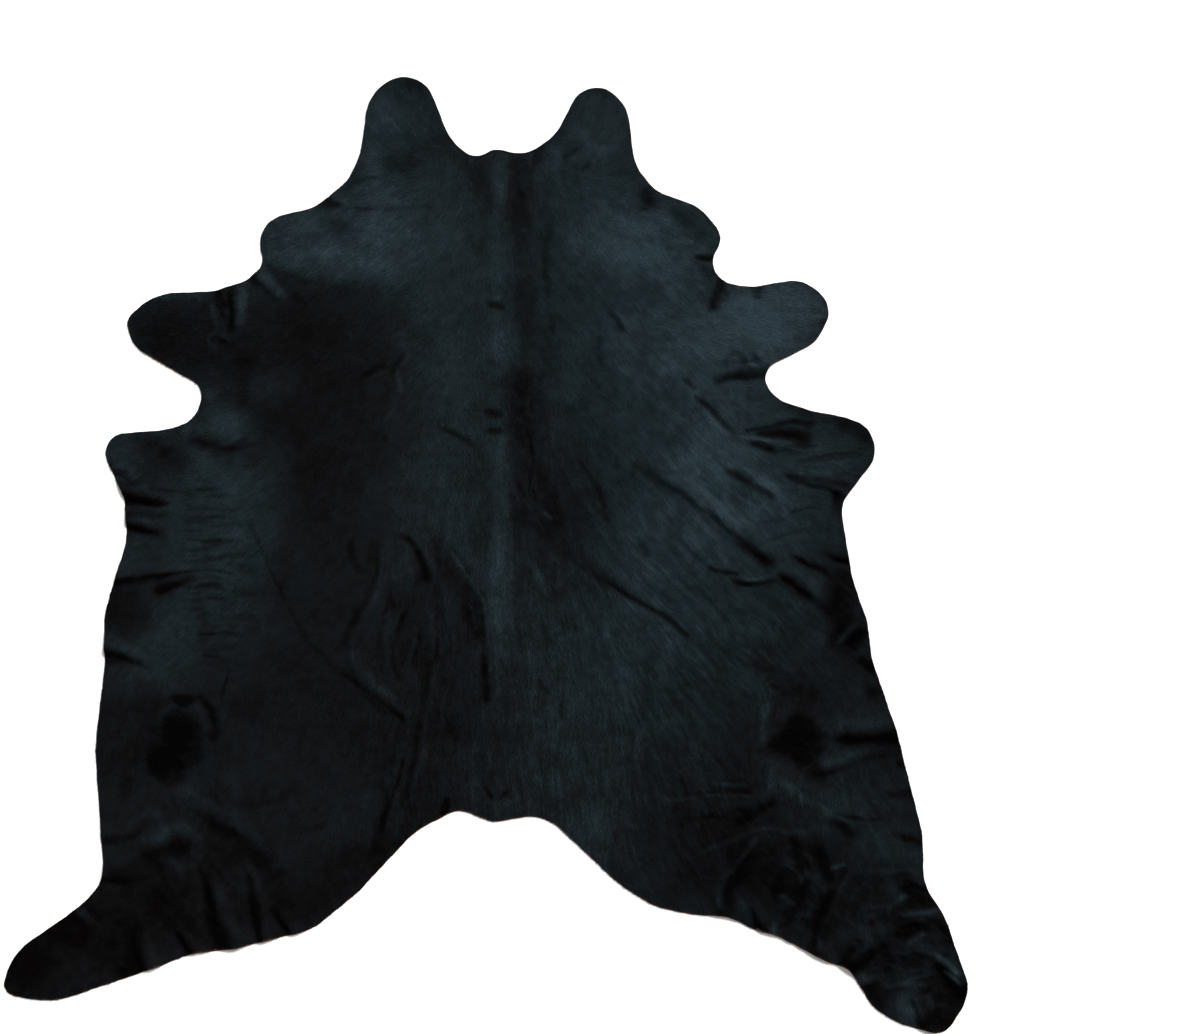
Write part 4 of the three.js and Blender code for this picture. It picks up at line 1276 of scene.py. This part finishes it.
def joinFlat(places, rimCount):
    # triangles between flat points, facing up, inside the outline that the first of them make
    corners = [Vector(place) for place in places]
    insideOnly = 1
    flat = delaunay_2d_cdt(corners, [], [list(range(rimCount))], insideOnly, skin["weld"])
    triangles = np.array([face for face in flat[2] if len(face) == 3])
    triangles = np.array([given[0] for given in flat[3]])[triangles]
    a, b, c = (places[triangles[:, k]] for k in range(3))
    turned = (b[:, 0] - a[:, 0]) * (c[:, 1] - a[:, 1]) < (b[:, 1] - a[:, 1]) * (c[:, 0] - a[:, 0])
    triangles[turned] = triangles[turned][:, ::-1]
    return triangles


def knifeSlant(out):
    # how far the hair side is cut back from the outline, all round
    rng = np.random.default_rng(cutEdge["seeds"]["slant"])
    turn = np.linspace(0, 2 * np.pi, len(out), endpoint=False)
    first, second = (
        np.sin(count * turn + rng.uniform(0, cutEdge["patchShift"])) for count in cutEdge["patches"]
    )
    mean, uneven = cutEdge["patchy"]
    patchy = mean + uneven * first * second
    least, more = cutEdge["slant"]
    return least + more * np.maximum(out @ cutEdge["slantWay"], 0) ** cutEdge["slantPower"] * patchy


def rimWall(rimCount, count):
    # two triangles for each step round the rim, from the flesh side up to the hair side
    here = np.arange(rimCount)
    ahead = np.roll(here, -1)
    return np.vstack((
        np.column_stack((here + count, ahead + count, ahead)),
        np.column_stack((here + count, ahead, here)),
    ))


def skinMap(points, faces, kind, rimCount):
    # hair side in the left half of the map, flesh side in the right, the cut edge in strips along the foot
    count, strips = len(points) // 2, bakeMap["strips"]
    share = (points[:, :2] - low) / (high - low)
    corners = share[faces.ravel()].reshape(-1, 3, 2)
    corners = corners * bakeMap["size"] + bakeMap["corner"]
    corners[kind == fleshFace, :, 0] += bakeMap["fleshShift"]
    onWall = kind == wallFace
    walls = faces[onWall]
    onTop = walls < count
    place = np.where(onTop, walls, walls - count) / rimCount
    place = np.where(place - place.min(1, keepdims=True) > 0.5, place - 1, place)
    strip = np.floor(np.maximum(place.min(1), 0) * strips).astype(int)
    left, foot = bakeMap["stripCorner"]
    corners[onWall, :, 0] = left + bakeMap["stripLength"] * (place * strips - strip[:, None])
    row = foot + bakeMap["stripPitch"] * strip[:, None]
    corners[onWall, :, 1] = row + bakeMap["stripHeight"] * onTop
    return np.clip(corners, 0, 1).reshape(-1, 2)


def makeSkin():
    rimCount = len(outline)
    places = np.vstack((outline, innerPoints()))
    triangles = joinFlat(places, rimCount)
    count = len(places)
    hairSide = np.column_stack((places, sample(creasedHeight, places)))
    fleshSide = np.column_stack((places, sample(fleshHeight, places)))
    out = outwardOf(outline)
    hairSide[:rimCount, :2] -= out * knifeSlant(out)[:, None]
    points = np.vstack((hairSide, fleshSide))
    wall = rimWall(rimCount, count)
    faces = np.vstack((triangles, triangles[:, ::-1] + count, wall))
    kind = np.repeat((hairFace, fleshFace, wallFace), (len(triangles), len(triangles), len(wall)))
    piece = meshFromArrays(skin["name"], points, faces)
    piece.data.polygons.foreach_set("material_index", kind.astype(np.int32))
    for finish in skinFinishes:
        piece.data.materials.append(finish)
    tones = sample(sheenAndShadeMap, places)
    setValues(piece, "tone", np.concatenate((tones, tones)))
    setBakeMap(piece, skinMap(points, faces, kind, rimCount))
    bpy.ops.object.select_all(action="DESELECT")
    piece.select_set(True)
    bpy.context.view_layer.objects.active = piece
    bpy.ops.object.shade_smooth_by_angle(angle=math.radians(skin["smoothAngle"]))
    print("skin", len(faces), "triangles")
    return piece


hideSkin = makeSkin()


# Combing: the way the hair lies round each place, in degrees from +X. A whorl turns it by so many degrees.
combRow = namedtuple("combRow", "at middle reach way")
combPlaces = [
    ("left ear", (-187, 980), 90, 95),
    ("right ear", (257, 960), 90, 80),
    ("poll", (30, 850), 120, -90),
    ("left neck", (-300, 720), 160, -150),
    ("right neck", (360, 700), 160, -30),
    ("left foreleg", (-660, 500), 120, 172),
    ("right foreleg", (660, 540), 120, 8),
    ("left elbow", (-740, 230), 100, -175),
    ("right elbow", (760, 220), 100, -5),
    ("left shoulder", (-300, 350), 200, -128),
    ("right shoulder", (330, 350), 200, -52),
    ("back", (30, 200), 140, -90),
    ("left flank", (-620, -50), 220, -138),
    ("right flank", (620, -50), 220, -42),
    ("left belly", (-740, -450), 180, -118),
    ("right belly", (780, -450), 180, -62),
    ("rump", (20, -350), 220, -90),
    ("left thigh", (-560, -720), 160, -122),
    ("right thigh", (620, -720), 160, -58),
    ("left hind leg", (-900, -900), 180, -155),
    ("right hind leg", (940, -900), 180, -62),
]
whorlPlaces = [("left flank", (-690, -415), 80, 150), ("right flank", (700, -415), 80, -150)]
combing, whorls = (
    [combRow(at, inMetres(middle), inMetres(reach), way) for at, middle, reach, way in rows]
    for rows in (combPlaces, whorlPlaces)
)

# Coat: short flat hairs in four pieces, each hair two faces bent over just above its root
coat = dict(
    pitch=0.00288,  # between roots
    scatter=0.45,  # how far a root strays from its place, in pitches
    clearEdge=1,  # millimetre cells between the outline and the first roots
    sunk=0.0002,  # how deep a root stands in the skin
    length=0.0125,
    lengthSpread=(0.75, 1.2),
    trims=(1.0, 0.7, 0.45, 0.25),  # hairs by the edge take the longest of these shares that fits
    width=0.0014,
    widthSpread=(0.8, 1.2),
    bendAt=0.30,  # share of the length where a hair turns over
    rise=(0.0008, 0.0015),  # height of that bend over the skin
    tipOver=(0.0003, 0.0022),  # least and most height of a tip over the skin
    overhang=1,  # millimetre cells that tips may reach past the cut edge
    farPull=1e-9,  # weight that every combing place keeps everywhere
    sway=11.0,  # degrees either way, hair by hair
    drift=16.0,  # degrees either way, tuft by tuft
    driftPitch=0.05,
    lean=0.30,  # how far light or dark nap turns a hair's face to the light or from it
    ruffle=0.08,
    toneSpread=0.06,
    tuft=(0.035, 0.095),  # tufts lighter and darker, everywhere and more on the right hindquarter
    tuftPitch=0.0055,
    tuftLength=0.045,
    tuftSteps=9,
    roughAt=(0.35, -0.35),
    roughReach=0.50,
    divide=(0.03, -0.06),  # spine, and the line between fore and hind pieces
    seeds=dict(hair=11, drift=12, tuft=13),
)


def combedWays(places):
    way = np.zeros((len(places), 2))
    for row in combing:
        weight = np.exp(-((places - row.middle) ** 2).sum(1) / (2 * row.reach**2)) + coat["farPull"]
        angle = math.radians(row.way)
        way += weight[:, None] * (math.cos(angle), math.sin(angle))
    angle = np.arctan2(way[:, 1], way[:, 0])
    for row in whorls:
        gone = ((places - row.middle) ** 2).sum(1) / row.reach**2
        angle += math.radians(row.way) * np.exp(-gone)
    return angle


def unit(vectors):
    return vectors / np.linalg.norm(vectors, axis=1, keepdims=True)


def rootPlaces(rng):
    roots = hexPoints(coat["pitch"])
    roots = roots + rng.uniform(-coat["scatter"], coat["scatter"], roots.shape) * coat["pitch"]
    return roots[isIn(shrunk(inHide, coat["clearEdge"]), roots)]


def hairAngles(roots, rng):
    drifting = softNoise(coat["driftPitch"], coat["seeds"]["drift"])
    drift = math.radians(coat["drift"]) * sample(drifting, roots)
    sway = math.radians(coat["sway"]) * rng.uniform(-1, 1, len(roots))
    return combedWays(roots) + drift + sway


def tufted(places, level):
    # random tones drawn out along the hair
    shares = np.linspace(-0.5, 0.5, coat["tuftSteps"])
    drawn = np.zeros(len(places))
    for share in shares:
        spot = (places + share * coat["tuftLength"] * level - low) / coat["tuftPitch"]
        drawn += noiseAt(spot[:, 0], spot[:, 1], coat["seeds"]["tuft"])
    rough = np.exp(-((places - coat["roughAt"]) ** 2).sum(1) / coat["roughReach"] ** 2)
    everywhere, more = coat["tuft"]
    return (everywhere + more * rough) * drawn / math.sqrt(len(shares))


def hairWays(roots, level, rng):
    # for each hair: up from the skin, ahead to its bend, forward to its tip, and aside over its face
    count = len(roots)
    tiltX, tiltY = sample(slopeX, roots), sample(slopeY, roots)
    up = unit(np.column_stack((-tiltX, -tiltY, np.ones(count))))
    ahead = unit(np.column_stack((level, tiltX * level[:, 0] + tiltY * level[:, 1])))
    middle = roots + coat["length"] / 2 * level
    leaning = coat["lean"] * (sample(sheenAndShadeMap, middle) - sheenPaint["base"])[:, None] * lightWay
    leaning = leaning + coat["ruffle"] * rng.standard_normal((count, 2))
    face = unit(up + np.column_stack((leaning, np.zeros(count))))
    forward = unit(ahead - (ahead * face).sum(1)[:, None] * face)
    return up, ahead, forward, np.cross(face, forward)


def bentHairs(base, toBend, forward, length, lift):
    # bends and tips, trimmed to fit by the edge, and which hairs fit at all
    reachable = ~shrunk(~inHide, coat["overhang"])
    bends, tips = np.zeros_like(base), np.zeros_like(base)
    kept = np.zeros(len(base), bool)
    for share in coat["trims"]:
        bend = base + toBend * (length * share * coat["bendAt"])[:, None] + lift
        tip = bend + forward * (length * share * (1 - coat["bendAt"]))[:, None]
        taken = isIn(reachable, tip) & isIn(reachable, bend) & ~kept
        bends[taken], tips[taken] = bend[taken], tip[taken]
        kept |= taken
    under = sample(hairBed, tips)
    lowest, highest = coat["tipOver"]
    tips[:, 2] = np.clip(tips[:, 2], under + lowest, under + highest)
    return bends, tips, kept


def hairArrays():
    # four points to a hair, its root, both sides of its bend and its tip, with their tones of painted sheen and
    # shade
    rng = np.random.default_rng(coat["seeds"]["hair"])
    roots = rootPlaces(rng)
    count = len(roots)
    angle = hairAngles(roots, rng)
    level = np.column_stack((np.cos(angle), np.sin(angle)))
    spread = coat["toneSpread"] * rng.uniform(-1, 1, count) + tufted(roots, level)
    up, ahead, forward, aside = hairWays(roots, level, rng)
    length = coat["length"] * rng.uniform(*coat["lengthSpread"], count)
    width = coat["width"] * rng.uniform(*coat["widthSpread"], count)
    lift = up * rng.uniform(*coat["rise"], count)[:, None]
    base = np.column_stack((roots, sample(hairBed, roots) - coat["sunk"]))
    bends, tips, kept = bentHairs(base, ahead, forward, length, lift)
    half = aside * (width / 2)[:, None]
    points = np.stack((base, bends + half, bends - half, tips), axis=1)[kept]
    tone = sample(sheenAndShadeMap, points.reshape(-1, 3)).reshape(-1, 4) + spread[kept, None]
    return points, np.clip(tone, sheenPaint["least"], 1)


def makeCoat(name, hairs, tone):
    points = hairs.reshape(-1, 3)
    first = np.arange(len(hairs))[:, None] * 4
    triangles = np.hstack((first + (0, 2, 1), first + (1, 2, 3))).reshape(-1, 3)
    piece = meshFromArrays(name, points, triangles)
    piece.data.materials.append(hairFinish)
    setValues(piece, "tone", tone.ravel())
    setValues(piece, "tip", np.tile((0.0, 0.5, 0.5, 1.0), len(hairs)))  # root, both sides of the bend, tip
    foot, top = points[:, :2].min(0), points[:, :2].max(0)
    setBakeMap(piece, ((points[:, :2] - foot) / (top - foot))[triangles.ravel()])
    print(name, len(hairs), "hairs,", len(triangles), "triangles")
    return piece


def makeCoats():
    hairs, tone = hairArrays()
    spine, waist = coat["divide"]
    right, fore = hairs[:, 0, 0] > spine, hairs[:, 0, 1] > waist
    quarters = {
        "coatForeLeft": fore & ~right,
        "coatForeRight": fore & right,
        "coatHindLeft": ~fore & ~right,
        "coatHindRight": ~fore & right,
    }
    return [makeCoat(name, hairs[part], tone[part]) for name, part in quarters.items()]


coats = makeCoats()

# The sheet and its hair ride on the part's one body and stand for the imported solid
for piece in [hideSkin, *coats]:
    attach(piece, "root")
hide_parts("hide")
